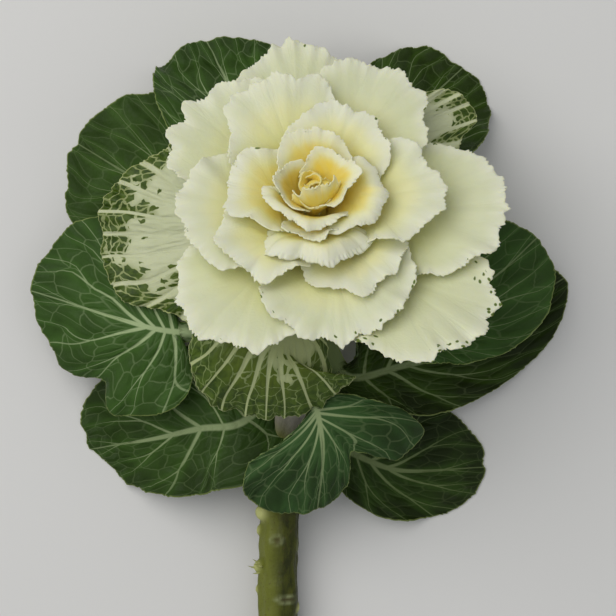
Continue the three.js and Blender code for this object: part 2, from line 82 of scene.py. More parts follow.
# Blades of the tiny sprout on the left: height, angle, length, half width, and how far they lean upward
SPROUT = [
    (-118.3, 190, 4.6, 1.2, -0.1), (-116.8, 194, 3, 1.2, 0.3), (-119.8, 192, 2.8, 1.1, -0.4),
    (-117.6, 205, 3.2, 1.3, 0.1),
]

# Fluting of the stem: depth, how many flutes round it, twist per mm of height, and start. Unevenness of its
# skin: depth, wavelength along it, how much shorter the waves are round it, and seed. All depths are in mm.
STEM_FLUTES = [(0.22, 5, 0.02, 0), (0.16, 8, -0.03, 1)]
STEM_BUMPS = [(0.3, 22, 1, 7), (0.1, 6, 2.5, 8)]
SCAR_RIM_HEIGHT = 0.4
SCAR_DEPTH = 0.35
STEM_END_DISH = 0.25
STEM_RING_STEP = 1.1
STEM_SIDES = 64
SPROUT_ROOTING = 0.4
SPROUT_TAPER = [0.8, 1, 0.95, 0.8, 0.58, 0.32, 0.04]

# Blades
BLADE_THICKNESS = 0.8
RIM_THICKNESS = 0.4
ROOTING = 1
FLOOR_EASE = 2
INNERMOST_BOWL = 4
SPINE_REACH = 1.3
SPINE_STEPS = 60
SHOULDER = 0.6
TAIL_TAPER = 0.8
TIP_ROUNDING = 0.08
VEIN_CROWDING = 1.2
SCALLOP_PITCH = 23
WAVE_GROWTH = 2.2
FOOT_CALM = 0.12
WAVES = [(0.6, 1, 1.9, 0), (0.4, 1.73, 3.1, 1), (0.25, 2.9, 4.7, 2)]

# Unevenness over so many mm of the margin or the blade: of the pitch and the strength of the teeth, of the
# large and the small lobes, of the side veins' course, and of the blade between them
TOOTH_PITCH_DRIFT = 7
TOOTH_STRENGTH_DRIFT = 9
TOOTH_LEAN = 0.65
LOBE_PITCHES = (16, 6)
SMALL_LOBES = 0.35
VEIN_DRIFT = 30
BLADE_DRIFT = 11
FINE_CRIMP = (0.35, 2.6)
FULL_QUILT_GAP = 8

# Fineness of the blades
COLUMN_WIDTH = 0.85
RIM_SPLIT = 3
ROWS = [0.03, 0.065, 0.105, 0.15, 0.205, 0.27, 0.34, 0.42, 0.5, 0.58, 0.66, 0.74, 0.81, 0.87, 0.92]
RIM_ROWS = [0.955, 0.98, 1]

LEAF = dict(
    petiole=0.15, petiole_half=3.5, fullness=(0.62, 0.5), blade=0.86, pinnate=0.35, cup=(0, 0),
    lip=(0, 0), wrap=1, ruffle=2, waves=3.5, ahead=(0, 0), trim=(), scallop=0.6, spine=None, facing=None,
)

# What the kinds of leaf add to the shape. veins counts the side veins on each side, quilt is how far the
# blade swells between them, crimp and teeth are the fine waves and the teeth of the margin, in mm.
# tone is for the finish: how far a green leaf is painted lit rather than in shade, how blue and how
# strongly veined it is;
# where the green cells of a variegated leaf begin between midrib and margin, how many there are, and how
# pale it is, lower paleness meaning painted shade; how far the green dots of a cream leaf reach from its
# margin in mm, how many there are, and how pale it is.
KINDS = {
    "green": dict(
        rib=2.2, rib_width=2.2, veins=5, quilt=0.9, crimp=0.4, crimp_pitch=10, tooth=0.4, tooth_pitch=3,
        lobe=0.2, scallop=0.25, cup=(10, 10), tone=(0.4, 0.4, 0.6)),
    "variegated": dict(
        rib=1.8, rib_width=2.4, veins=8, quilt=0.5, crimp=0.7, crimp_pitch=7, tooth=0.45, tooth_pitch=2.2,
        lobe=0.5),
    "cream": dict(
        fullness=(0.7, 0.42), petiole=0.26, rib=0.9, rib_width=2, veins=5, quilt=0.25, crimp=0.5,
        crimp_pitch=9, tooth=0.9, tooth_pitch=1.6, lobe=1.3, tone=(2, 0.12, 16)),
}
UP = (0, 0, 1)

# Leaves on the stem below the head: a spine of points from the stem outward, and the way the blade faces.
# width is the half width on the clockwise and on the other side of the midrib, seen from above. Their
# places in the list are their seeds.
OUTER_LEAVES = [
    dict(name="green_leaf_upper_left", height=-16, petiole=0.25, width=(31, 27),
         pinnate=0.3, spine=[(-31, 31, 21), (-53, 41, 11), (-80, 57, -9)], facing=[UP, UP, (-0.3, 0.1, 1)],
         tone=(0.6, 0.3, 0.5)),
    dict(name="green_leaf_top_left", height=-6, petiole=0.2, width=(24, 25), cup=(8, 8),
         pinnate=0.3, spine=[(-14, 47, 31), (-24, 70, 20), (-35, 93, -10)],
         facing=[UP, (0.1, 0.3, 1), (0.15, 0.5, 1)], tone=(0.6, 0.4, 1)),
    dict(name="green_leaf_top_right", height=-10, petiole=0.2, width=(23, 21), cup=(8, 8),
         pinnate=0.4, spine=[(14, 46, 28), (34, 65, 19), (54, 84, -9)],
         facing=[UP, (0.1, 0.3, 1), (0.1, 0.4, 1)], tone=(0.35, 0.1, 0.6)),
    dict(name="green_leaf_left", height=-26, petiole=0.42, width=(30, 38), cup=(-10, -25),
         pinnate=0.22, ruffle=3, ahead=(2, -12), fullness=(0.62, 0.38),
         spine=[(-20, -6, 27), (-44, -8, 32), (-66, -3, 27), (-93, 6, 11)],
         facing=[UP, UP, (-0.2, -0.1, 1)], tone=(0.75, 0.5, 1),
         trim=[(0, 0), (0.12, -5), (0.28, -17), (0.45, -6), (0.65, 0)]),
    dict(name="green_leaf_lower_left", height=-58, petiole=0.08, width=(28, 20),
         pinnate=0.6, ahead=(0, -9), fullness=(0.52, 0.5),
         spine=[(-23, -39, 22), (-37, -41, 19), (-54, -45, 11), (-76, -49, -8)],
         facing=[UP, UP, (0, -0.1, 1)]),
    dict(name="green_leaf_front", height=-44, petiole=0.4, width=(25, 40), cup=(-15, -50),
         pinnate=0.12, ahead=(5, -6), fullness=(0.9, 0.4),
         spine=[(0, -25, 39), (3, -34, 44), (5, -49, 41), (3, -70, 27)],
         facing=[(0, -0.1, 1), (-0.05, -0.2, 1), (0, -0.4, 1)],
         trim=[(-0.03, 0), (0.14, -27), (0.28, -14), (0.45, 0)], tone=(0.4, 0.9, 0.6)),
    dict(name="green_leaf_lower_right", height=-66, petiole=0.2, width=(15, 22),
         pinnate=0.5, spine=[(2, -47, 11), (13, -49, 9), (32, -56, 4), (61, -55, -8)],
         tone=(0, 0.3, 0.25)),
    dict(name="green_leaf_right", height=-34, width=(18, 22), pinnate=0.5,
         spine=[(13, -23, 22), (31, -20, 17), (49, -14, 10), (88, 10, -9)],
         tone=(0.1, 0.1, 0.4)),
    dict(name="green_leaf_upper_right", height=-20, petiole=0.25, width=(22, 22),
         pinnate=0.4, spine=[(21, -7, 30), (41, 1, 28), (61, 9, 25), (78, 24, 20)],
         tone=(0.75, 0.6, 0.6)),
    dict(name="variegated_leaf_top_right", height=0, petiole=0.2, width=(14, 9), cup=(8, 8),
         ruffle=1, spine=[(14, 49, 35), (34, 60, 36), (55, 69, 32)], tone=(0.6, 1, 1)),
    dict(name="variegated_leaf_left", height=-3, petiole=0.1, width=(27, 29), cup=(5, 5),
         pinnate=0.25, spine=[(-19, 29, 39), (-44, 25, 37), (-70, 25, 30)], facing=[UP, UP, (-0.1, 0, 1)],
         trim=[(0.2, 0), (0.33, -4), (0.45, 0)], tone=(0.62, 1, 1)),
    dict(name="variegated_leaf_front", height=-12, petiole=0.3, width=(25, 27), cup=(-20, -20),
         pinnate=0.2, spine=[(-6, -6, 52), (-11, -13, 58), (-13, -22, 58), (-14, -37, 46)],
         facing=[(0, -0.1, 1), (0, -0.3, 1), (0, -0.6, 1)], tone=(0.22, 1, 0.3)),
]


def cream_leaf(name, height, heading, length, width, rise, seed, **more):
    """A leaf of the rosette. height is up the head's axis, heading is 0 to the right and 90 away from the
    stem's cut end, and rise is how steeply it climbs, in degrees, at even steps from foot to tip."""
    return dict(name="cream_leaf_" + name, height=height, heading=heading, length=length, width=width,
                rise=rise, seed=seed, **more)


# Leaves of the rosette, tier by tier from the outside in
ROSETTE_LEAVES = [
    cream_leaf("1_top", 5, 98, 62, (19, 19), (38, 2), 21),
    cream_leaf("1_upper_left", 8, 138, 56, (26, 24), (45, 0), 22),
    cream_leaf("1_upper_right", 9, 63, 57, (22, 22), (48, 0), 23),
    cream_leaf("1_right", 6, 0, 62, (24, 24), (40, 0), 24),
    cream_leaf("1_lower_right", 2, -43, 68, (26, 25), (34.5, 0), 25, tone=(9, 0.9, 16)),
    cream_leaf("1_front", 10, -74, 49, (27, 27), (50, -10), 26, ruffle=3, tone=(4, 0.6, 16)),
    cream_leaf("1_lower_left", 6, -128, 57, (23, 23), (45, -10), 27),
    cream_leaf("1_left", 12, 188, 46, (22, 22), (54, 0), 28),
    cream_leaf("2_top", 13, 112, 49, (22, 22), (60, 5), 31, trim=[(0.15, 0), (0.3, -3), (0.45, 0)]),
    cream_leaf("2_upper_right", 16, 67, 38, (19, 18), (62, 10), 32),
    cream_leaf("2_right", 13.5, 3, 45, (18, 19), (60, 0), 33),
    cream_leaf("2_lower_right", 12.4, -52, 38.5, (18, 16.5), (57, 0), 34, petiole=0.33),
    cream_leaf("2_lower_left", 15, 226, 38, (19, 14), (59, 2), 35, ruffle=1.7, petiole=0.33,
               petiole_half=3),
    cream_leaf("3_top", 20, 92, 28.5, (14, 14), (74, 34), 41, ruffle=0.9, petiole=0.3),
    cream_leaf("3_left", 18.3, 175, 33, (16, 15), (69, 5), 42, ruffle=1, petiole=0.3),
    cream_leaf("3_right", 19.5, -8, 31, (14, 13), (74, 62, 50, 32, -15), 43, ruffle=1, lip=(0.6, 2.5),
               petiole=0.3),
    cream_leaf("3_front", 17.4, -87, 30, (15, 15), (68, 25), 44, ruffle=1.2, lip=(0.65, 5), wrap=2,
               petiole=0.3, petiole_half=3),
    cream_leaf("3_lower_left", 22, 252, 24.5, (15, 11.5), (74, 66, 62, 58, 10), 45, ruffle=0.8,
               lip=(0.7, 1.5), wrap=1.5, petiole=0.3),
    cream_leaf("4_left", 24.5, 182, 21, (11, 10), (75, 50), 51, ruffle=0.6, petiole=0.3, petiole_half=2.5),
    cream_leaf("4_right", 26.5, 24, 21.5, (13, 13), (81, 35), 52, ruffle=0.5, petiole=0.3,
               petiole_half=2.5),
    cream_leaf("3_lower", 19.5, -90, 25.5, (9, 8), (72, 30), 46, ruffle=0.6, petiole=0.3, petiole_half=2.5),
    cream_leaf("4_front", 25, -100, 14.5, (8, 8), (76, 66), 54, ruffle=0.5, petiole=0.3, petiole_half=2,
               tone=(0, 0, 8)),
    cream_leaf("5_front", 29.5, -74, 18, (8, 8), (45, 70, 95, 110), 53, ruffle=0.6, wrap=1.6, petiole=0.2,
               petiole_half=2, tone=(0, 0, 8)),
]

# Tiny folded leaves of the heart
HEART = dict(petiole=0.2, petiole_half=1.5, ruffle=1, scallop=0.2, crimp=0.4, lobe=0.2, tooth=0.4,
             tone=(0, 0, 2))
HEART_LEAVES = [
    dict(height=34, heading=165, length=10, width=(4.5, 5), rise=(80, 75, 40), seed=61),
    dict(height=34, heading=40, length=9.5, width=(5, 4), rise=(76, 95, 110), seed=62),
    dict(height=35, heading=285, length=7, width=(3.5, 4), rise=(80, 90, 120), seed=63),
    dict(height=35.5, heading=110, length=8, width=(4, 3.5), rise=(86, 100, 140), seed=64),
]

# Where colours change, in mm: from the head's axis on the cream leaves, and up the stem from its neck
# From and to how far off the axis the cream darkens into its painted shade
CREAM_SHADE_BETWEEN = (16.0, 46.0)
# How far off the axis the warm and the gold reach: the inner leaves' own yellow together with a painted
# glow
WARM_WITHIN = (16.0, 50.0)
GOLD_WITHIN = (7.0, 27.0)
STEM_BLANCHES = (-74.0, -62.0)
STEM_GREENS_AGAIN = (-54.0, -40.0)
CORE_BEGINS = (2.0, 14.0)

# Half widths of the main veins in mm, at the midrib and at the margin
GREEN_VEIN_WIDTH = (0.55, 0.16)
CREAM_VEIN_WIDTH = (1.3, 0.8)
HALF_WHITE_VEIN_FOOT = 1.1
HALF_WHITE_VEIN_END = (0.4, 1.15)

# Colours in linear red, green and blue. Two together are the ends of a range.
# The next two pairs are one green painted in shade and painted lit, each without and with the blue bloom
GREEN_DARK_AND_SHADED = (0.012, 0.022, 0.001), (0.013, 0.028, 0.005)
GREEN_LIT = (0.048, 0.104, 0.004), (0.044, 0.110, 0.030)
GREEN_VEINS = (0.11, 0.15, 0.04), (0.40, 0.50, 0.26)
# Pale line along a green margin: a painted highlight where light catches the teeth
GREEN_RIM_HIGHLIGHT = (0.28, 0.34, 0.10)
GREEN_UNDERSIDE = (0.16, 0.24, 0.11)
CELL_EDGE = (0.10, 0.16, 0.03), (0.20, 0.25, 0.06)
CELL = (0.030, 0.062, 0.002), (0.070, 0.120, 0.008)
CELL_FAR_FROM_RIM = (0.110, 0.155, 0.008)
HALF_WHITE = (0.58, 0.62, 0.39), (0.70, 0.72, 0.51)
HALF_WHITE_SHADY = (0.34, 0.40, 0.15)
HALF_WHITE_RIM = (0.50, 0.55, 0.24)
CREAM = (0.80, 0.81, 0.60), (0.88, 0.88, 0.72)
# Cream painted darker in shade, on the rosette's outer parts away from the axis
CREAM_PAINTED_SHADE = (0.66, 0.69, 0.44), (0.77, 0.79, 0.58)
# Warm yellow of the inner leaves, partly their own colour and partly painted glow of light scattered deep
# in the head
CREAM_WARM_AND_GLOW = (0.87, 0.82, 0.38)
CREAM_FOOT = (0.72, 0.75, 0.32)
CREAM_LIP = (0.85, 0.85, 0.70)
CREAM_VEINS = (0.76, 0.79, 0.50)
# Yellowish line of the teeth along a cream margin, lightened as a painted highlight where light catches
# them
CREAM_RIM_AND_HIGHLIGHT = (0.84, 0.84, 0.56)
# Gold of the heart: its own yellow together with a painted glow
HEART_GOLD_AND_GLOW = (0.87, 0.68, 0.11)
DOT_EDGE = (0.17, 0.23, 0.045)
STEM_SKIN = (0.022, 0.027, 0.001), (0.062, 0.071, 0.004)
# Painted light: the stem's upper left side, toward the key lamp, made lighter
STEM_PAINTED_LIT_SIDE = (0.21, 0.235, 0.03)
STEM_SPECKS = (0.07, 0.045, 0.012)
STEM_BLANCHED = (0.45, 0.46, 0.36), (0.50, 0.42, 0.44)
STEM_UNDER_HEAD = (0.38, 0.44, 0.18)
# The core's own yellow inside the head, painted golden so the shaded gap under the heart shows a glow
STEM_CORE_AND_GLOW = (0.80, 0.64, 0.14)
STEM_PITH = (0.42, 0.46, 0.24), (0.68, 0.68, 0.48)
SCAR = (0.07, 0.055, 0.018)
SCAR_RIM = (0.26, 0.29, 0.14)
STUB = (0.60, 0.62, 0.24)
FLOOR = (0.74, 0.735, 0.72), (0.77, 0.765, 0.75)


def unit(v):
    return v / np.linalg.norm(v, axis=-1, keepdims=True)


def smooth_path(points, steps):
    """A smooth curve through points, as a fine list with running length"""
    points = np.array(points, float)
    points = np.vstack([2 * points[0] - points[1], points, 2 * points[-1] - points[-2]])
    t = (np.arange(steps) / steps)[:, None]
    spans = []
    for a, b, c, d in zip(points, points[1:], points[2:], points[3:]):
        curve = 2 * b + (c - a) * t + (2 * a - 5 * b + 4 * c - d) * t**2 + (3 * b - a - 3 * c + d) * t**3
        spans.append(curve / 2)
    line = np.vstack(spans + [points[-2:-1]])
    arc = np.append(0, np.cumsum(np.linalg.norm(np.diff(line, axis=0), axis=1)))
    return line, arc


def along_path(path, s):
    line, arc = path
    return np.stack([np.interp(s, arc, line[:, k]) for k in range(3)], axis=-1)


def path_direction(path, s, reach=1.0):
    return unit(along_path(path, s + reach) - along_path(path, s - reach))


tilt = math.radians(HEAD_TILT)
AXIS = np.array([0, math.sin(tilt), math.cos(tilt)])
CORE_TOP = np.array(NECK) + AXIS * (CORE_HEIGHT + BUD_RADIUS)
STEM_LINE = smooth_path([*STEM_PATH, NECK, NECK + AXIS * CORE_HEIGHT / 2, CORE_TOP], PATH_STEPS)
NECK_ARC = STEM_LINE[1][len(STEM_PATH) * PATH_STEPS]


def stem_frame(height):
    """Point, direction and cross directions of the stem line at a height above or below the neck"""
    p = along_path(STEM_LINE, NECK_ARC + height)
    d = path_direction(STEM_LINE, NECK_ARC + height)
    x = np.array([1.0, 0, 0])
    ex = unit(x - d * (d @ x)[..., None])
    return p, d, ex, np.cross(d, ex)


def stem_radius(height):
    height = np.asarray(height, float)
    below = STEM_RADIUS + NECK_SWELLING * np.exp(-((height / SWELLING_REACH) ** 2))
    above = (STEM_RADIUS + NECK_SWELLING) * (1 - CORE_TAPER * height / CORE_HEIGHT)
    return np.where(height < 0, below, above)


def smoothstep(x, low, high):
    t = np.clip((x - low) / (high - low), 0, 1)
    return t * t * (3 - 2 * t)


def ripple(x, seed, count=6, spread=0.55):
    """An irregular smooth wave of x with wavelengths round 1, mostly between -1 and 1"""
    rng = np.random.default_rng(seed)
    total = 0
    for pitch, start in zip(rng.uniform(1 - spread, 1 + spread, count), rng.uniform(0, 2 * np.pi, count)):
        total = total + np.sin(2 * np.pi * pitch * x + start)
    return total / math.sqrt(count)


def mottle(x, y, seed, count=7):
    """An irregular smooth field over x and y with wavelengths round 1, mostly between -1 and 1"""
    rng = np.random.default_rng(seed)
    total = 0
    for _ in range(count):
        angle, start, pitch = rng.uniform(0, 2 * np.pi), rng.uniform(0, 2 * np.pi), rng.uniform(0.6, 1.5)
        total = total + np.sin(2 * np.pi * pitch * (x * math.cos(angle) + y * math.sin(angle)) + start)
    return total / math.sqrt(count)


def margin_trim(leaf, phi):
    """Millimetres the margin is drawn in or out at phi"""
    change = np.zeros_like(phi)
    for (p0, d0), (p1, d1) in zip(leaf.trim, leaf.trim[1:]):
        t = np.clip((phi - p0) / (p1 - p0), 0, 1)
        inside = (phi >= p0) & (phi < p1)
        change = np.where(inside, d0 + (d1 - d0) * (1 - np.cos(np.pi * t)) / 2, change)
    return change


def outline(leaf, phi, fine=0.0):
    """Flat outline of a blade: phi runs from -1 (foot) over 0 (tip) to 1 (foot). Returns where the vein
    leaves the midrib and where it meets the margin, along and across. fine moves the margin outward."""
    foot = leaf.petiole * leaf.length
    reach = leaf.length - foot
    f = np.abs(phi)
    side = (phi >= 0).astype(int)
    u = np.minimum(f / leaf.blade, 1)
    y = (1 + np.cos(np.pi * u)) / 2
    alpha, beta = leaf.fullness
    peak = (alpha / (alpha + beta)) ** alpha * (beta / (alpha + beta)) ** beta
    swell = y**alpha * (1 - y) ** beta / peak
    tail = leaf.petiole_half * (1 - y) ** TAIL_TAPER * np.minimum(1, f / TIP_ROUNDING)
    shoulder = np.clip(np.sin(np.pi * u), 0, 1) ** SHOULDER
    a = foot + reach * y + np.take(leaf.ahead, side) * shoulder
    b = np.sign(phi) * (np.take(leaf.width, side) * swell + tail)
    centre = foot + reach * leaf.pinnate
    scallop = leaf.scallop * np.sin(phi * SCALLOP_PITCH + leaf.seed)
    change = margin_trim(leaf, phi) + (scallop + fine) * (1 - u**4)
    k = 1 + change / np.maximum(np.hypot(a - centre, b), 1)
    start = foot + reach * leaf.pinnate * (1 - u) ** VEIN_CROWDING
    petiole = f > leaf.blade
    on_petiole = foot * (1 - (f - leaf.blade) / (1 - leaf.blade))
    a = np.where(petiole, on_petiole, centre + (a - centre) * k)
    b = np.where(petiole, np.sign(phi) * leaf.petiole_half, b * k)
    return np.where(petiole, on_petiole, start), a, b


def free_spine(leaf):
    """Frames along the midrib of an outer leaf: on it, across it and toward the upper face"""
    p, d, _, _ = stem_frame(leaf.height)
    first = np.array(leaf.spine[0], float) - p
    first = unit(first - d * (first @ d))
    start = p + first * (stem_radius(leaf.height) - ROOTING)
    path = smooth_path([start, *leaf.spine], PATH_STEPS)
    leaf.length = path[1][-1]
    facing = np.array(leaf.facing or [UP] * 3, float)
    reach = np.linspace(0, SPINE_REACH, SPINE_STEPS + 1)
    t = np.minimum(reach, 1)
    tangent = path_direction(path, t * leaf.length)
    centre = along_path(path, t * leaf.length) + tangent * ((reach - t) * leaf.length)[:, None]
    steps = np.linspace(0, 1, len(facing))
    normal = np.stack([np.interp(t, steps, facing[:, k]) for k in range(3)], axis=-1)
    normal = unit(normal - tangent * np.sum(normal * tangent, axis=1, keepdims=True))
    return SimpleNamespace(C=centre, N=normal, S=np.cross(normal, tangent), r=np.ones(len(t)), axis=None)


def bowl_spine(leaf):
    """Frames along the midrib of a rosette leaf, whose blade wraps round the head's axis at distance r"""
    p, d, ex, ey = stem_frame(leaf.height)
    turn = math.radians(leaf.heading)
    outward = ex * math.cos(turn) + ey * math.sin(turn)
    sideways = ey * math.cos(turn) - ex * math.sin(turn)
    t = np.linspace(0, SPINE_REACH, SPINE_STEPS + 1)
    rise = np.interp(t, np.linspace(0, 1, len(leaf.rise)), leaf.rise)
    rise = rise + np.maximum(0, t - 1) * (leaf.rise[-1] - leaf.rise[-2]) * (len(leaf.rise) - 1)
    rise = np.radians(rise)[:, None]
    tangent = outward * np.cos(rise) + d * np.sin(rise)
    step = leaf.length * SPINE_REACH / SPINE_STEPS
    moves = np.vstack([np.zeros(3), (tangent[1:] + tangent[:-1]) / 2 * step])
    centre = p + outward * (stem_radius(leaf.height) - ROOTING) + np.cumsum(moves, axis=0)
    across = np.repeat(sideways[None], len(t), axis=0)
    r = np.maximum(INNERMOST_BOWL, (centre - p) @ outward) * leaf.wrap
    return SimpleNamespace(C=centre, N=np.cross(tangent, across), S=across, r=r, axis=d)


def spine_at(spine, t):
    """The spine's frame and distance from the axis at shares t of the leaf's length"""
    x = np.clip(t / SPINE_REACH * SPINE_STEPS, 0, SPINE_STEPS)
    i = np.minimum(x.astype(int), SPINE_STEPS - 1)
    k = (x - i)[..., None]
    centre, across, normal = (row[i] * (1 - k) + row[i + 1] * k for row in (spine.C, spine.S, spine.N))
    return centre, unit(across), unit(normal), spine.r[i] * (1 - k[..., 0]) + spine.r[i + 1] * k[..., 0]


def rest(z, low):
    """A blade lies down softly on the table instead of passing through it"""
    eased = low + (z - low + FLOOR_EASE) ** 2 / (4 * FLOOR_EASE)
    return np.where(z <= low - FLOOR_EASE, low, np.where(z >= low + FLOOR_EASE, z, eased))


def wave_at(leaf, phi):
    turn = phi * leaf.waves * np.pi
    return sum(share * np.sin(pitch * turn + by_seed * leaf.seed + start)
               for share, pitch, by_seed, start in WAVES)


def spread_columns(leaf):
    """Values of phi from tip to foot that part the margin evenly, on the two sides together"""
    phi = np.linspace(0, 1, 1500)
    lengths = []
    for sign in (-1, 1):
        _, a, b = outline(leaf, sign * phi)
        lengths.append(np.append(0, np.cumsum(np.hypot(np.diff(a), np.diff(b)))))
    arc = np.mean(lengths, axis=0)
    half = max(16, round(arc[-1] / COLUMN_WIDTH))
    fine = np.interp(np.linspace(0, arc[-1], half * RIM_SPLIT + 1), arc, phi)
    blade_arc = np.interp(leaf.blade, phi, arc)
    return half, np.concatenate([-fine[:0:-1], fine]), (phi, arc / blade_arc)


def vein_phase(leaf, margin, phi, s, a, b):
    """Counts side veins: a vein runs where the value is whole"""
    f = np.interp(np.abs(phi), *margin.spread)
    off_midrib = np.minimum(1, f / 0.12)
    drift = 0.5 * s**2 * off_midrib * np.maximum(0, 1 - f)
    return leaf.veins * f + drift + 0.09 * mottle(a / VEIN_DRIFT, b / VEIN_DRIFT, leaf.seed) * off_midrib


def flat_point(margin, phi, s):
    """A point of the unbent blade: along and across the midrib, and the way that its vein runs"""
    start, a, b = (np.interp(phi, margin.phi, v) for v in (margin.start, margin.a, margin.b))
    return start + (a - start) * s, b * s, a - start, b


def vein_spacing(leaf, margin, phi, s):
    """Millimetres from one side vein to the next, falling to nothing on the leaf stalk"""
    step = 0.004
    a0, b0, _, _ = flat_point(margin, phi - step, s)
    a1, b1, _, _ = flat_point(margin, phi + step, s)
    _, _, along, across = flat_point(margin, phi, s)
    gap = np.abs((a1 - a0) * across - (b1 - b0) * along) / np.maximum(np.hypot(along, across), 0.1)
    count = np.interp(np.abs(phi) + step, *margin.spread) - np.interp(np.abs(phi) - step, *margin.spread)
    on_stalk = smoothstep(np.abs(phi), 0.95 * leaf.blade, 1.03 * leaf.blade)
    return gap / np.maximum(leaf.veins * np.abs(count), 0.002) * (1 - on_stalk)


def blade_surface(leaf, spine, phi, s, margin):
    """Points of the upper face, and what the finish needs to know of them"""
    along, across, vein_a, vein_b = flat_point(margin, phi, s)
    centre, S, N, r = spine_at(spine, along / leaf.length)
    side = (across >= 0).astype(int)
    cup = np.radians(np.where(np.take(leaf.cup, side) == 0, 0.01, np.take(leaf.cup, side)))
    bend = cup / np.take(leaf.width, side)
    lateral = np.sin(bend * across) / bend
    calm = np.clip((1 - np.abs(phi)) / FOOT_CALM, 0, 1)
    rim = np.interp(phi, margin.phi, margin.arc)
    phase = vein_phase(leaf, margin, phi, s, along, across)
    between = np.abs(phase - np.round(phase)) * 2
    lift = (1 - np.cos(bend * across)) / bend
    lift = lift + leaf.ruffle * s**WAVE_GROWTH * calm * wave_at(leaf, phi)
    lift = lift - leaf.lip[1] * np.clip((s - leaf.lip[0]) / (1 - leaf.lip[0]), 0, 1) ** 2 * calm
    lift = lift + leaf.crimp * s**5 * calm * ripple(rim / leaf.crimp_pitch, leaf.seed + 300)
    share, finer = FINE_CRIMP
    lift = lift + leaf.crimp * share * s**9 * calm * ripple(rim / leaf.crimp_pitch * finer, leaf.seed + 400)
    spacing = vein_spacing(leaf, margin, phi, s)
    veined = smoothstep(s, 0.02, 0.3) * (1 - 0.6 * s**6) * calm * np.minimum(1, spacing / FULL_QUILT_GAP)
    lift = lift + leaf.quilt * veined * (between**0.7 - 0.5)
    uneven = mottle(along / BLADE_DRIFT, across / BLADE_DRIFT, leaf.seed + 500)
    lift = lift + 0.5 * leaf.quilt * s * calm * uneven
    lift, lateral = lift[:, None], lateral[:, None]
    if spine.axis is None:
        P = centre + S * lateral + N * lift
    else:
        psi, r = lateral / r[:, None], r[:, None]
        inward = np.cross(spine.axis, S)
        turned = N * np.cos(psi) + np.cross(spine.axis, N) * np.sin(psi)
        turned = turned + spine.axis * (N @ spine.axis)[:, None] * (1 - np.cos(psi))
        P = centre + S * r * np.sin(psi) + inward * r * (1 - np.cos(psi)) + turned * lift
    P[:, 2] = rest(P[:, 2], BLADE_THICKNESS)
    to_rim = np.hypot(vein_a, vein_b) * (1 - s)
    return SimpleNamespace(P=P, phi=phi, s=s, along=along, across=across, phase=phase, spacing=spacing,
                           to_rim=to_rim)


def margin_of(leaf):
    """The toothed and lobed outline, at fine steps of phi"""
    half, phi, spread = spread_columns(leaf)
    _, a, b = outline(leaf, phi)
    arc = np.append(0, np.cumsum(np.hypot(np.diff(a), np.diff(b))))
    saw = np.mod(arc / leaf.tooth_pitch + 0.35 * ripple(arc / TOOTH_PITCH_DRIFT, leaf.seed + 100), 1)
    tooth = np.minimum(saw / TOOTH_LEAN, (1 - saw) / (1 - TOOTH_LEAN))
    strength = 0.75 + 0.45 * ripple(arc / TOOTH_STRENGTH_DRIFT, leaf.seed + 150)
    large, small = (ripple(arc / pitch, leaf.seed + more) for pitch, more in zip(LOBE_PITCHES, (200, 250)))
    lobe = leaf.lobe * (large + SMALL_LOBES * small)
    start, a, b = outline(leaf, phi, lobe + leaf.tooth * strength * (tooth - 0.5))
    return SimpleNamespace(half=half, phi=phi, spread=spread, arc=arc, start=start, a=a, b=b)


def strip(lower, upper):
    """Triangles between two rows of vertices, where the upper row has as many or RIM_SPLIT times as many"""
    faces = []
    if len(lower) == len(upper):
        for i in range(len(lower) - 1):
            faces += [(lower[i], upper[i], upper[i + 1]), (lower[i], upper[i + 1], lower[i + 1])]
        return faces
    for i in range(len(lower) - 1):
        f = upper[RIM_SPLIT * i:RIM_SPLIT * i + RIM_SPLIT + 1]
        faces += [(lower[i], f[0], f[1]), (lower[i], f[1], lower[i + 1]), (lower[i + 1], f[1], f[2])]
        faces += [(lower[i + 1], f[2], f[3])]
    return faces


def vertex_normals(points, faces):
    corners = points[faces]
    by_face = np.cross(corners[:, 1] - corners[:, 0], corners[:, 2] - corners[:, 0])
    normals = np.zeros_like(points)
    for k in range(3):
        np.add.at(normals, faces[:, k], by_face)
    return unit(normals)


def blade_rows(margin):
    """Rows of vertex numbers from the midrib out to the margin, with phi and s of each vertex"""
    n = margin.half
    coarse = margin.phi[::RIM_SPLIT]
    rows, phi, s, count = [[abs(i) for i in range(-n, n + 1)]], [coarse[n:]], [np.zeros(n + 1)], n + 1
    for level in ROWS + RIM_ROWS:
        own = coarse if level in ROWS else margin.phi
        rows.append(list(range(count, count + len(own))))
        phi.append(own)
        s.append(np.full(len(own), level))
        count += len(own)
    return rows, np.concatenate(phi), np.concatenate(s)


def blade_mesh(leaf):
    """One closed blade: points in mm, triangles, and what the finish reads at each point"""
    spine = free_spine(leaf) if leaf.spine else bowl_spine(leaf)
    margin = margin_of(leaf)
    rows, phi, s = blade_rows(margin)
    top = blade_surface(leaf, spine, phi, s, margin)
    faces = np.array([face for lower, upper in zip(rows, rows[1:]) for face in strip(lower, upper)])
    ridge = np.exp(-((top.across / leaf.rib_width) ** 2)) * (1 - 0.75 * top.along / leaf.length)
    thick = RIM_THICKNESS + (BLADE_THICKNESS - RIM_THICKNESS) * (1 - top.s**2) + leaf.rib * ridge
    under = top.P - vertex_normals(top.P, faces) * thick[:, None]
    under[:, 2] = np.maximum(under[:, 2], 0)
    count = len(top.P)
    rim = [row[0] for row in rows] + rows[-1][1:-1] + [row[-1] for row in rows][::-1]
    walls = []
    for a, b in zip(rim, rim[1:]):
        walls += [(b, a, a + count), (b, a + count, b + count)]
    triangles = np.vstack([faces, faces[:, [0, 2, 1]] + count, np.array(walls)])
    points = np.vstack([top.P, under])
    return points, triangles, leaf_attributes(leaf, points, top)


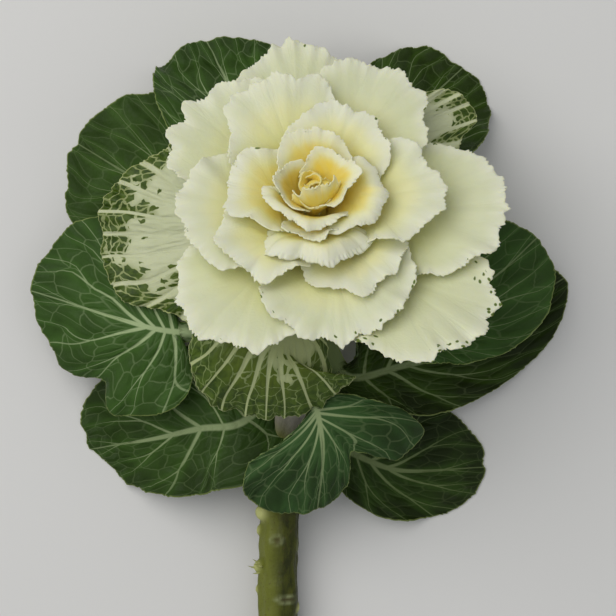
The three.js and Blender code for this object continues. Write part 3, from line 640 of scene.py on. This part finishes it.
def leaf_attributes(leaf, points, top):
    """Three numbers a time for each point of both faces, which the finishes read"""
    on_axis = np.array(NECK) + AXIS * np.clip((points - NECK) @ AXIS, 0, CORE_HEIGHT)[:, None]
    from_axis = np.linalg.norm(points - on_axis, axis=1)
    both = {
        "kale_flat": (top.along + leaf.seed * 37.0, top.across, top.along / leaf.length),
        "kale_vein": (top.phase + 20.0 * leaf.seed, top.s, top.spacing),
    }
    found = {name: np.tile(np.stack(values, axis=1), (2, 1)) for name, values in both.items()}
    found["kale_edge"] = np.stack([np.tile(top.to_rim, 2), from_axis, np.repeat([0.0, 1.0], len(top.P))], 1)
    found["kale_tone"] = np.tile(np.array(leaf.tone, float), (len(points), 1))
    return found


def join(parts):
    """Several meshes as one, with their attributes"""
    points, triangles, attributes = [], [], {}
    for own_points, own_triangles, own_attributes in parts:
        triangles.append(own_triangles + sum(len(p) for p in points))
        points.append(own_points)
        for name, values in own_attributes.items():
            attributes.setdefault(name, []).append(values)
    return np.vstack(points), np.vstack(triangles), {k: np.vstack(v) for k, v in attributes.items()}


def tube_faces(rings, sides):
    """Triangles of a tube made of closed rings of vertices, one ring after the other"""
    triangles = []
    for a in range(0, (rings - 1) * sides, sides):
        b = a + sides
        for i in range(sides):
            j = (i + 1) % sides
            triangles += [(a + i, a + j, b + j), (a + i, b + j, b + i)]
    return triangles


def bud_mesh():
    """The closed bud at the very top, a small ball drawn out along the axis"""
    rounds, around = 8, 14
    polar = np.linspace(0, np.pi, rounds + 1)[1:-1]
    p, d, ex, ey = stem_frame(CORE_HEIGHT)
    centre = p + d * (BUD_RADIUS + 0.3)
    turn = np.linspace(0, 2 * np.pi, around, endpoint=False)
    across = ex * np.cos(turn)[:, None] + ey * np.sin(turn)[:, None]
    pleats = 1 + 0.12 * np.cos(5 * turn)[:, None]
    rings = [centre + BUD_RADIUS * (across * math.sin(a) * pleats + d * math.cos(a)) for a in polar]
    points = np.vstack([centre + d * BUD_RADIUS, *rings, centre - d * BUD_RADIUS])
    triangles = []
    for i in range(around):
        j = (i + 1) % around
        foot = len(points) - 1
        triangles += [(0, 1 + i, 1 + j), (foot, foot - around + j, foot - around + i)]
        for k in range(rounds - 2):
            a, b = 1 + k * around, 1 + (k + 1) * around
            triangles += [(a + i, b + i, b + j), (a + i, b + j, a + j)]
    zero, one = np.zeros(len(points)), np.ones(len(points))
    attributes = {
        "kale_flat": np.stack([points[:, 0], points[:, 1], one], 1),
        "kale_vein": np.stack([zero, one, 5 * one], 1),
        "kale_edge": np.stack([one, zero, zero], 1),
        "kale_tone": np.stack([zero, zero, one], 1),
    }
    return points, np.array(triangles), attributes


def stem_relief(height, turn, radius):
    """Millimetres that the stem's skin stands out, and how far each point is on a stub, in a scar or on the
    scar's rim"""
    round_it = 0.35 * np.cos(turn) + 0.6 * np.sin(turn)
    relief, stub, scar, ring = (np.zeros_like(height) for _ in range(4))
    for depth, count, twist, start in STEM_FLUTES:
        relief = relief + depth * np.cos(count * turn + twist * height + start)
    for depth, pitch, finer, seed in STEM_BUMPS:
        relief = relief + depth * mottle(height / pitch, finer * round_it, seed)
    for at, angle, size, reach in STEM_NODES:
        away = np.hypot(height - at, np.angle(np.exp(1j * (turn - math.radians(angle)))) * radius) / size
        relief = relief + reach * np.exp(-(away**5))
        stub = np.maximum(stub, np.exp(-(away**4)))
    for at, angle, long, wide in SCARS:
        turned = np.angle(np.exp(1j * (turn - math.radians(angle)))) * radius
        away = np.hypot((height - at) / long, turned / wide)
        relief = relief + SCAR_RIM_HEIGHT * np.exp(-(((away - 1) / 0.35) ** 2))
        relief = relief - SCAR_DEPTH * np.exp(-((away / 0.7) ** 4))
        scar = np.maximum(scar, np.exp(-((away / 0.6) ** 4)))
        ring = np.maximum(ring, np.exp(-(((away - 0.9) / 0.3) ** 2)))
    return relief, stub, scar, ring


def stem_mesh():
    """The stem from its cut end to the tip of its core, in rings that close with a point at each end"""
    low, high = -NECK_ARC, CORE_HEIGHT
    end = [(low, share) for share in (0.2, 0.45, 0.7, 0.88, 0.97)]
    tube = [(h, 1.0) for h in np.linspace(low + 0.25, high, round((high - low) / STEM_RING_STEP))]
    heights, shares = np.array(end + tube + [(high, 0.5)]).T
    turn = np.linspace(0, 2 * np.pi, STEM_SIDES, endpoint=False)
    height, angle = np.meshgrid(heights, turn, indexing="ij")
    radius = stem_radius(height)
    relief, stub, scar, ring = stem_relief(height, angle, radius)
    calm = smoothstep(-height, -2, 8)
    p, d, ex, ey = stem_frame(heights)
    around = ex[:, None] * np.cos(angle)[..., None] + ey[:, None] * np.sin(angle)[..., None]
    reach = (radius + relief * calm) * shares[:, None]
    dished = STEM_END_DISH * np.where(height <= low, 1 - shares[:, None] ** 2, 0)
    points = (p[:, None] + around * reach[..., None] + d[:, None] * dished[..., None]).reshape(-1, 3)
    tips = np.array([p[0] + d[0] * STEM_END_DISH, p[-1]])
    points = np.vstack([points, tips])
    points[:, 2] = np.maximum(points[:, 2], 0)
    triangles, last = tube_faces(len(heights), STEM_SIDES), len(points) - 2
    top = (len(heights) - 1) * STEM_SIDES
    for i in range(STEM_SIDES):
        j = (i + 1) % STEM_SIDES
        triangles += [(last, j, i), (last + 1, top + i, top + j)]
    cut = np.where(height <= low + 0.3, 1.0 - shares[:, None], -1.0)
    skin = np.stack([height, angle, cut], axis=-1).reshape(-1, 3)
    marks = np.stack([stub, scar, ring], axis=-1).reshape(-1, 3)
    ends = np.array([[low, 0, 1.0], [high, 0, -1.0]])
    return points, np.array(triangles), {
        "kale_skin": np.vstack([skin, ends]), "kale_marks": np.vstack([marks, np.zeros((2, 3))])}


def sprout_mesh():
    """Little pointed blades that stand out from the stem in a tuft, each a closed four-sided spike"""
    shares = np.linspace(0, 1, len(SPROUT_TAPER))
    parts = []
    for height, angle, length, half, lean in SPROUT:
        p, d, ex, ey = stem_frame(height)
        turn = math.radians(angle)
        out = ex * math.cos(turn) + ey * math.sin(turn)
        side = np.cross(d, out)
        root = p + out * (stem_radius(height) - SPROUT_ROOTING)
        spine = root + length * (out * shares[:, None] + d * (lean * shares + 0.25 * shares**2)[:, None])
        corners = np.array([side * half, d * half * 0.35, -side * half, -d * half * 0.35])
        points = np.vstack([middle + corners * wide for middle, wide in zip(spine, SPROUT_TAPER)])
        last = len(points) - 4
        triangles = [(0, 2, 1), (0, 3, 2), *tube_faces(len(shares), 4)]
        triangles += [(last, last + 1, last + 2), (last, last + 2, last + 3)]
        skin = np.tile([height, turn, -1.0], (len(points), 1))
        marks = np.zeros((len(points), 3))
        marks[:, 0] = np.repeat(1 - 0.7 * shares, 4)
        parts.append((points, np.array(triangles), {"kale_skin": skin, "kale_marks": marks}))
    return join(parts)


class Finish:
    """A procedural finish: a Principled shader, and short words for the nodes that feed it"""

    def __init__(self, name, **constants):
        self.material = bpy.data.materials.new(name)
        self.material.use_nodes = True
        self.tree = self.material.node_tree
        self.shader = self.tree.nodes["Principled BSDF"]
        for key, value in constants.items():
            self.shader.inputs[key.replace("_", " ")].default_value = value

    def feed(self, socket, value):
        if isinstance(value, bpy.types.NodeSocket):
            self.tree.links.new(value, socket)
        elif isinstance(value, tuple) and socket.type == "RGBA":
            socket.default_value = (*value, 1)
        else:
            socket.default_value = value

    def node(self, kind, inputs, out=0, **settings):
        node = self.tree.nodes.new("ShaderNode" + kind)
        for key, value in settings.items():
            setattr(node, key, value)
        for key, value in inputs.items():
            self.feed(node.inputs[key], value)
        return node.outputs[out]

    def read(self, attribute):
        """The three numbers of an attribute"""
        vector = self.node("Attribute", {}, out="Vector", attribute_name=attribute)
        split = self.node("SeparateXYZ", {0: vector}).node
        return split.outputs[0], split.outputs[1], split.outputs[2]

    def math(self, operation, *values):
        return self.node("Math", dict(enumerate(values)), operation=operation)

    def add(self, *values):
        return reduce(lambda a, b: self.math("ADD", a, b), values)

    def mul(self, *values):
        return reduce(lambda a, b: self.math("MULTIPLY", a, b), values)

    def most(self, *values):
        return reduce(lambda a, b: self.math("MAXIMUM", a, b), values)

    def less(self, value, taken):
        return self.math("SUBTRACT", value, taken)

    def size(self, value):
        return self.math("ABSOLUTE", value)

    def ramp(self, value, low, high, start=0.0, stop=1.0, curve="SMOOTHSTEP"):
        inputs = {"Value": value, "From Min": low, "From Max": high, "To Min": start, "To Max": stop}
        return self.node("MapRange", inputs, interpolation_type=curve)

    def fall(self, value, low, high):
        return self.ramp(value, low, high, 1.0, 0.0)

    def mix(self, share, first, second):
        return self.node("Mix", {0: share, 6: first, 7: second}, out=2, data_type="RGBA")

    def layers(self, colour, *layers):
        """A colour with others laid over it one after the other, each with its share"""
        for share, over in layers:
            colour = self.mix(share, colour, over)
        return colour

    def point(self, x, y, z=0.0):
        return self.node("CombineXYZ", {0: x, 1: y, 2: z})

    def noise(self, vector, scale, detail=2.0, rough=0.5):
        inputs = {"Vector": vector, "Scale": scale, "Detail": detail, "Roughness": rough}
        return self.node("TexNoise", inputs)

    def cells(self, vector, scale, feature, out):
        inputs = {"Vector": vector, "Scale": scale}
        return self.node("TexVoronoi", inputs, out, feature=feature, voronoi_dimensions="2D")

    def warped(self, x, y, scale, amount):
        """A flat place pushed about by noise, so that nets don't look drawn"""
        flat = self.point(x, y)
        push = self.node("TexNoise", {"Vector": flat, "Scale": scale, "Detail": 1.0}, out="Color")
        push = self.node("VectorMath", {0: push, 1: (0.5, 0.5, 0.5)}, operation="SUBTRACT")
        push = self.node("VectorMath", {0: push, "Scale": amount}, operation="SCALE")
        return self.node("VectorMath", {0: flat, 1: push}, operation="ADD")

    def set(self, **inputs):
        for key, value in inputs.items():
            self.feed(self.shader.inputs[key.replace("_", " ")], value)

    def bump(self, height, depth):
        """Raises the skin by height times depth in mm"""
        normal = self.node("Bump", {"Strength": 1.0, "Distance": depth * MM, "Height": height})
        self.feed(self.shader.inputs["Normal"], normal)


def vein_lines(f, width, parting=0.25):
    """Shares of main vein, net and fine net at each point. width is a main vein's half width in mm, at the
    midrib and at the margin, and parting is how far its two branches draw apart."""
    along, across, reach = f.read("kale_flat")
    phase, s, spacing = f.read("kale_vein")
    place = f.warped(along, across, 0.12, 3.0)
    whole = f.math("ROUND", phase)
    chance = f.node("TexWhiteNoise", {"W": whole}, noise_dimensions="1D")
    beside = f.size(f.less(phase, whole))
    fork = f.add(0.35, f.mul(chance, 0.35))
    parted = f.mul(parting, f.ramp(s, fork, f.add(fork, 0.45), curve="LINEAR"))
    beside = f.mul(f.size(f.less(beside, parted)), spacing)
    half = f.mul(f.ramp(s, 0.0, 0.9, width[0], width[1]), f.ramp(chance, 0.0, 1.0, 0.7, 1.2))
    main = f.fall(beside, f.mul(half, 0.5), f.mul(half, 1.4))
    rib = f.ramp(reach, 0.1, 1.0, 1.5 * width[0] + 0.5, 0.25)
    midrib = f.fall(f.size(across), f.mul(rib, 0.6), f.mul(rib, 1.3))
    panels = f.warped(f.mul(phase, 2.4), f.mul(s, 5.0), 0.9, 0.5)
    panel = f.cells(panels, 1.0, "DISTANCE_TO_EDGE", "Distance")
    roomy = f.ramp(spacing, 2.0, 6.0)
    net = f.mul(f.fall(f.mul(panel, spacing, 1 / 2.4), 0.05, 0.28), roomy)
    fine = f.fall(f.cells(place, 0.45, "DISTANCE_TO_EDGE", "Distance"), 0.02, 0.12)
    pillow = f.mul(f.ramp(panel, 0.0, 0.45), roomy)
    stalk = f.fall(spacing, 0.2, 1.2)
    return SimpleNamespace(main=f.most(main, midrib), beside=beside, net=net, pillow=pillow, fine=fine,
                           place=place, s=s, phase=phase, spacing=spacing, reach=reach, stalk=stalk)


def green_cells(f, lines, across, along, gap):
    """Where a variegated leaf turns green: shares of the olive round the cells, and of the cells. They
    follow the net, as many across from vein to vein and along a vein as the numbers say, and crowd toward
    the margin. gap is the half width in mm of the pale line between them."""
    begin, amount, _ = f.read("kale_tone")
    place = f.warped(f.mul(lines.phase, across), f.mul(lines.s, along), 1.3, 0.7)
    edge = f.cells(place, 1.0, "DISTANCE_TO_EDGE", "Distance")
    edge = f.mul(edge, f.math("DIVIDE", lines.spacing, across))
    chance = f.node("SeparateColor", {0: f.cells(place, 1.0, "F1", "Color")})
    patch = f.noise(lines.place, 0.09, 1.0)
    past = f.less(f.add(lines.s, f.mul(f.less(patch, 0.5), 0.9)), begin)
    likely = f.mul(f.ramp(past, -0.05, 0.25), amount, 1.15)
    there = f.ramp(f.less(likely, chance), 0.0, 0.08)
    apart = f.less(1.0, lines.main)
    shrunk = f.less(edge, f.ramp(past, 0.0, 0.3, 0.6, 0.0))
    return f.mul(f.ramp(past, 0.05, 0.3), apart), f.mul(there, f.ramp(shrunk, 0.02, gap), apart)


def green_finish():
    f = Finish("green_leaf", Specular_IOR_Level=0.14)
    lines = vein_lines(f, GREEN_VEIN_WIDTH)
    rim, _, under = f.read("kale_edge")
    # light is how far this leaf is painted lit rather than in shade; with random patches it moves the blade
    # between the painted-shade and the painted-lit green
    light, blue, veined = f.read("kale_tone")
    patch = f.add(f.noise(lines.place, 0.07, 3.0), f.ramp(lines.s, 0.2, 1.0, 0.12, -0.12))
    dark_and_shaded = f.mix(blue, *GREEN_DARK_AND_SHADED)
    lit = f.mix(blue, *GREEN_LIT)
    # Lighter beside the main veins: partly the blade's waxy bloom, partly a painted highlight on the
    # swelling panels
    wax_and_painted_sheen = f.ramp(lines.beside, 0.3, 2.6, 0.3, 0.0)
    blade = f.mix(f.add(f.mul(light, 0.85), f.ramp(patch, 0.3, 0.7, -0.15, 0.25), wax_and_painted_sheen), dark_and_shaded, lit)
    pale = f.mix(veined, *GREEN_VEINS)
    net = f.mul(lines.net, f.ramp(lines.s, 0.0, 0.5, 0.08, 0.17), f.ramp(veined, 0.0, 1.0, 0.6, 1.0))
    main = f.mul(lines.main, f.ramp(lines.s, 0.0, 0.9, 0.95, 0.45))
    colour = f.layers(
        blade, (net, pale), (f.most(main, f.mul(lines.stalk, 0.9)), pale),
        # painted highlight along the margin
        (f.ramp(rim, 0.15, 0.5, 0.6, 0.0), GREEN_RIM_HIGHLIGHT), (f.mul(under, 0.6), GREEN_UNDERSIDE))
    f.set(Base_Color=colour, Roughness=f.ramp(lines.fine, 0.0, 1.0, 0.48, 0.6))
    grain = f.noise(lines.place, 1.4)
    furrow = f.mul(lines.main, f.ramp(lines.spacing, 2.0, 6.0), -0.35)
    f.bump(f.add(furrow, f.mul(lines.pillow, 0.8), f.mul(grain, 0.25)), 0.4)
    return f.material


def green_on_pale(f, pale, edge, cells, lines):
    """A pale colour turning green where the cells are, with an edge colour round them"""
    round_them, inside = cells
    olive = f.mix(f.most(f.mul(round_them, 0.8), f.ramp(inside, 0.05, 0.5)), pale, edge)
    green = f.mix(f.ramp(f.noise(lines.place, 0.35), 0.35, 0.65), *CELL)
    green = f.mix(f.ramp(lines.s, 0.5, 0.85, 0.6, 0.0), green, CELL_FAR_FROM_RIM)
    return f.mix(f.ramp(inside, 0.35, 0.9), olive, green)


def variegated_finish():
    f = Finish("variegated_leaf", Roughness=0.5, Specular_IOR_Level=0.3, Subsurface_Weight=0.2)
    _, _, paleness_and_painted_light = f.read("kale_tone")
    vein_end = f.ramp(paleness_and_painted_light, 0.3, 1.0, *HALF_WHITE_VEIN_END)
    lines = vein_lines(f, (HALF_WHITE_VEIN_FOOT, vein_end), 0.0)
    rim, _, _ = f.read("kale_edge")
    white = f.mix(f.noise(lines.place, 0.08, 3.0), *HALF_WHITE)
    # Painted shade: the white goes toward the shady colour as paleness falls, and a fifth of the way at the
    # margin
    white = f.mix(f.mul(paleness_and_painted_light, f.ramp(lines.s, 0.0, 1.0, 1.0, 0.8)), HALF_WHITE_SHADY, white)
    across, along = f.ramp(paleness_and_painted_light, 0.3, 1.0, 1.3, 2.3), f.ramp(paleness_and_painted_light, 0.3, 1.0, 8.0, 15.0)
    gap = f.ramp(paleness_and_painted_light, 0.3, 1.0, 0.34, 0.55)
    olive = f.mix(paleness_and_painted_light, *CELL_EDGE)
    colour = green_on_pale(f, white, olive, green_cells(f, lines, across, along, gap), lines)
    colour = f.mix(f.ramp(rim, 0.1, 0.4, 0.7, 0.0), colour, HALF_WHITE_RIM)
    f.set(Base_Color=colour, Subsurface_Radius=(0.9, 0.8, 0.4), Subsurface_Scale=MM)
    grain = f.noise(lines.place, 1.2)
    f.bump(f.add(f.mul(lines.main, -0.4), f.mul(lines.pillow, 0.6), f.mul(grain, 0.3)), 0.4)
    return f.material


def cream_finish():
    f = Finish("cream_leaf", Roughness=0.5, Specular_IOR_Level=0.3, Subsurface_Weight=0.35)
    lines = vein_lines(f, CREAM_VEIN_WIDTH)
    rim, from_axis, _ = f.read("kale_edge")
    tint = f.noise(lines.place, 0.05, 3.0)
    spread, amount, pale = f.read("kale_tone")
    # Toward the axis the cream turns warm, then gold: the inner leaves' own yellow with a painted glow of
    # light deep in the head
    depth = f.add(from_axis, f.mul(f.ramp(lines.s, 0.45, 0.95), pale))
    colour = f.layers(
        f.mix(tint, *CREAM),
        # painted shade on the outer leaves
        (f.ramp(from_axis, *CREAM_SHADE_BETWEEN), f.mix(tint, *CREAM_PAINTED_SHADE)),
        (f.mul(f.fall(depth, *WARM_WITHIN), 0.95), CREAM_WARM_AND_GLOW),
        (f.ramp(lines.reach, 0.3, 0.95, 0.75, 0.0), CREAM_FOOT),
        (f.ramp(rim, 0.0, 7.0, 0.6, 0.0), CREAM_LIP),
        (f.fall(depth, *GOLD_WITHIN), HEART_GOLD_AND_GLOW),
        (f.mul(lines.main, 0.1), CREAM_VEINS),
        # teeth colour with a painted highlight along the margin
        (f.ramp(rim, 0.1, 0.4, 0.4, 0.0), CREAM_RIM_AND_HIGHLIGHT))
    dot = f.cells(lines.place, 0.45, "F1", "Distance")
    chance = f.node("SeparateColor", {0: f.cells(lines.place, 0.45, "F1", "Color")})
    patch = f.ramp(f.noise(lines.place, 0.08, 1.0), 0.4, 0.6)
    likely = f.mul(amount, patch, f.ramp(rim, 0.0, spread, 1.1, 0.0))
    dots = f.mul(f.ramp(dot, 0.1, 0.36, 0.66, 0.0), f.ramp(f.less(likely, chance), 0.0, 0.05))
    colour = green_on_pale(f, colour, DOT_EDGE, (0.0, dots), lines)
    f.set(Base_Color=colour, Subsurface_Radius=(1.0, 0.85, 0.4), Subsurface_Scale=1.2 * MM)
    f.bump(f.add(f.mul(lines.main, -0.12), f.mul(f.noise(lines.place, 0.9), 0.25)), 0.3)
    return f.material


def stem_finish():
    f = Finish("stem", Roughness=0.5, Specular_IOR_Level=0.25)
    height, turn, cut = f.read("kale_skin")
    stub, scar, ring = f.read("kale_marks")
    across, upward = f.math("COSINE", turn), f.math("SINE", turn)
    streak = f.noise(f.point(f.mul(height, 0.12), f.mul(across, 2.0), f.mul(upward, 2.0)), 1.3, 4.0, 0.6)
    # painted light on the stem's upper left side
    side = f.math("COSINE", f.less(turn, 3.6))
    speck = f.noise(f.point(f.mul(height, 0.9), f.mul(across, 5.0), f.mul(upward, 5.0)), 1.2, 3.0)
    skin = f.layers(
        f.mix(f.ramp(streak, 0.35, 0.65), *STEM_SKIN),
        (f.ramp(side, 0.1, 0.95, 0.0, 0.6), STEM_PAINTED_LIT_SIDE),
        (f.ramp(speck, 0.6, 0.75, 0.0, 0.6), STEM_SPECKS),
        (f.mul(f.ramp(height, *STEM_BLANCHES), 0.85), f.mix(streak, *STEM_BLANCHED)),
        (f.ramp(height, *STEM_GREENS_AGAIN, 0.0, 0.85), STEM_UNDER_HEAD),
        (f.mul(scar, 0.75), SCAR),
        (f.mul(ring, f.ramp(streak, 0.4, 0.6, 0.3, 0.8)), SCAR_RIM),
        (f.mul(stub, 0.85), STUB),
        # core colour with painted glow
        (f.ramp(height, *CORE_BEGINS), STEM_CORE_AND_GLOW))
    pith = f.mix(f.ramp(cut, 0.2, 0.45), *STEM_PITH)
    f.set(Base_Color=f.mix(f.ramp(cut, -0.5, -0.1), skin, pith))
    f.bump(f.add(streak, f.mul(speck, 0.6)), 0.35)
    return f.material


def floor_finish():
    f = Finish("floor", Roughness=0.85, Specular_IOR_Level=0.2)
    place = f.node("TexCoord", {}, out="Object")
    grain = f.noise(place, 3.0, 4.0)
    f.set(Base_Color=f.mix(grain, *FLOOR))
    return f.material


def design_origin():
    """Where the design frame's origin is, in mm: found from the middle of the stem's cut end"""
    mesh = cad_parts["stem"].data
    points = np.array([v.co[:] for v in mesh.vertices]) / MM
    end = np.unique(points[points[:, 1] < points[:, 1].min() + 0.3].round(3), axis=0)
    return end.mean(axis=0) - STEM_PATH[0]


ORIGIN = design_origin()


def place_in_scene(name, data):
    thing = bpy.data.objects.new(name, data)
    bpy.context.scene.collection.objects.link(thing)
    return thing


def add_piece(name, node, finish, mesh_data):
    points, triangles, attributes = mesh_data
    mesh = bpy.data.meshes.new(name)
    mesh.from_pydata(((points + ORIGIN) * MM).tolist(), [], triangles.tolist())
    for key, values in attributes.items():
        layer = mesh.attributes.new(key, "FLOAT_VECTOR", "POINT")
        layer.data.foreach_set("vector", values.astype(np.float32).ravel())
    mesh.shade_smooth()
    mesh.materials.append(finish)
    piece = place_in_scene(name, mesh)
    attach(piece, "root")
    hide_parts(node)


def add_leaf(kind, facts, finish):
    leaf = SimpleNamespace(**{**LEAF, **KINDS[kind], **facts})
    add_piece("fine_" + leaf.name, leaf.name, finish, blade_mesh(leaf))


def add_heart(finish):
    leaves = [SimpleNamespace(**{**LEAF, **KINDS["cream"], **HEART, **facts}) for facts in HEART_LEAVES]
    parts = [blade_mesh(leaf) for leaf in leaves]
    add_piece("fine_heart", "heart", finish, join([*parts, bud_mesh()]))


def add_light(name, place, target, size, power, colour):
    light = bpy.data.lights.new(name, "AREA")
    light.shape, light.size, light.energy, light.color = "DISK", size, power, colour
    lamp = place_in_scene(name, light)
    lamp.location = place
    way = np.array(target) - np.array(place)
    lamp.rotation_euler = Vector(way).to_track_quat("-Z", "Y").to_euler()


def add_room():
    """Pale floor, soft light from the upper left, and the camera that looks straight down"""
    mesh = bpy.data.meshes.new("floor")
    half = FLOOR_SIZE / 2
    corners = [(-half, -half, 0), (half, -half, 0), (half, half, 0), (-half, half, 0)]
    mesh.from_pydata(corners, [], [(0, 1, 2, 3)])
    mesh.materials.append(floor_finish())
    floor = place_in_scene("floor", mesh)
    head = (ORIGIN + HEAD_CENTRE) * MM
    add_light("key", head + np.array(KEY_FROM), head, KEY_SIZE, KEY_POWER, KEY_COLOUR)
    add_light("fill", head + np.array(FILL_FROM), head, FILL_SIZE, FILL_POWER, FILL_COLOUR)
    world = bpy.data.worlds.new("studio")
    world.use_nodes = True
    sky = world.node_tree.nodes["Background"].inputs
    sky["Color"].default_value = (*WORLD_COLOUR, 1)
    sky["Strength"].default_value = WORLD_LIGHT
    bpy.context.scene.world = world
    bpy.context.scene.view_settings.view_transform = "Standard"
    camera = bpy.data.cameras.new("camera")
    camera.sensor_width, camera.lens = 36, CAMERA_LENS
    camera.clip_start, camera.clip_end = 0.05, 20
    eye = place_in_scene("camera", camera)
    eye.location = (ORIGIN + (0, 0, CAMERA_HEIGHT)) * MM
    bpy.context.scene.camera = eye


add_room()
cream = cream_finish()
finishes = {"green": green_finish(), "variegated": variegated_finish()}
for seed, facts in enumerate(OUTER_LEAVES, 1):
    kind = facts["name"].split("_")[0]
    add_leaf(kind, dict(facts, seed=seed), finishes[kind])
for facts in ROSETTE_LEAVES:
    add_leaf("cream", facts, cream)
add_heart(cream)
add_piece("fine_stem", "stem", stem_finish(), join([stem_mesh(), sprout_mesh()]))
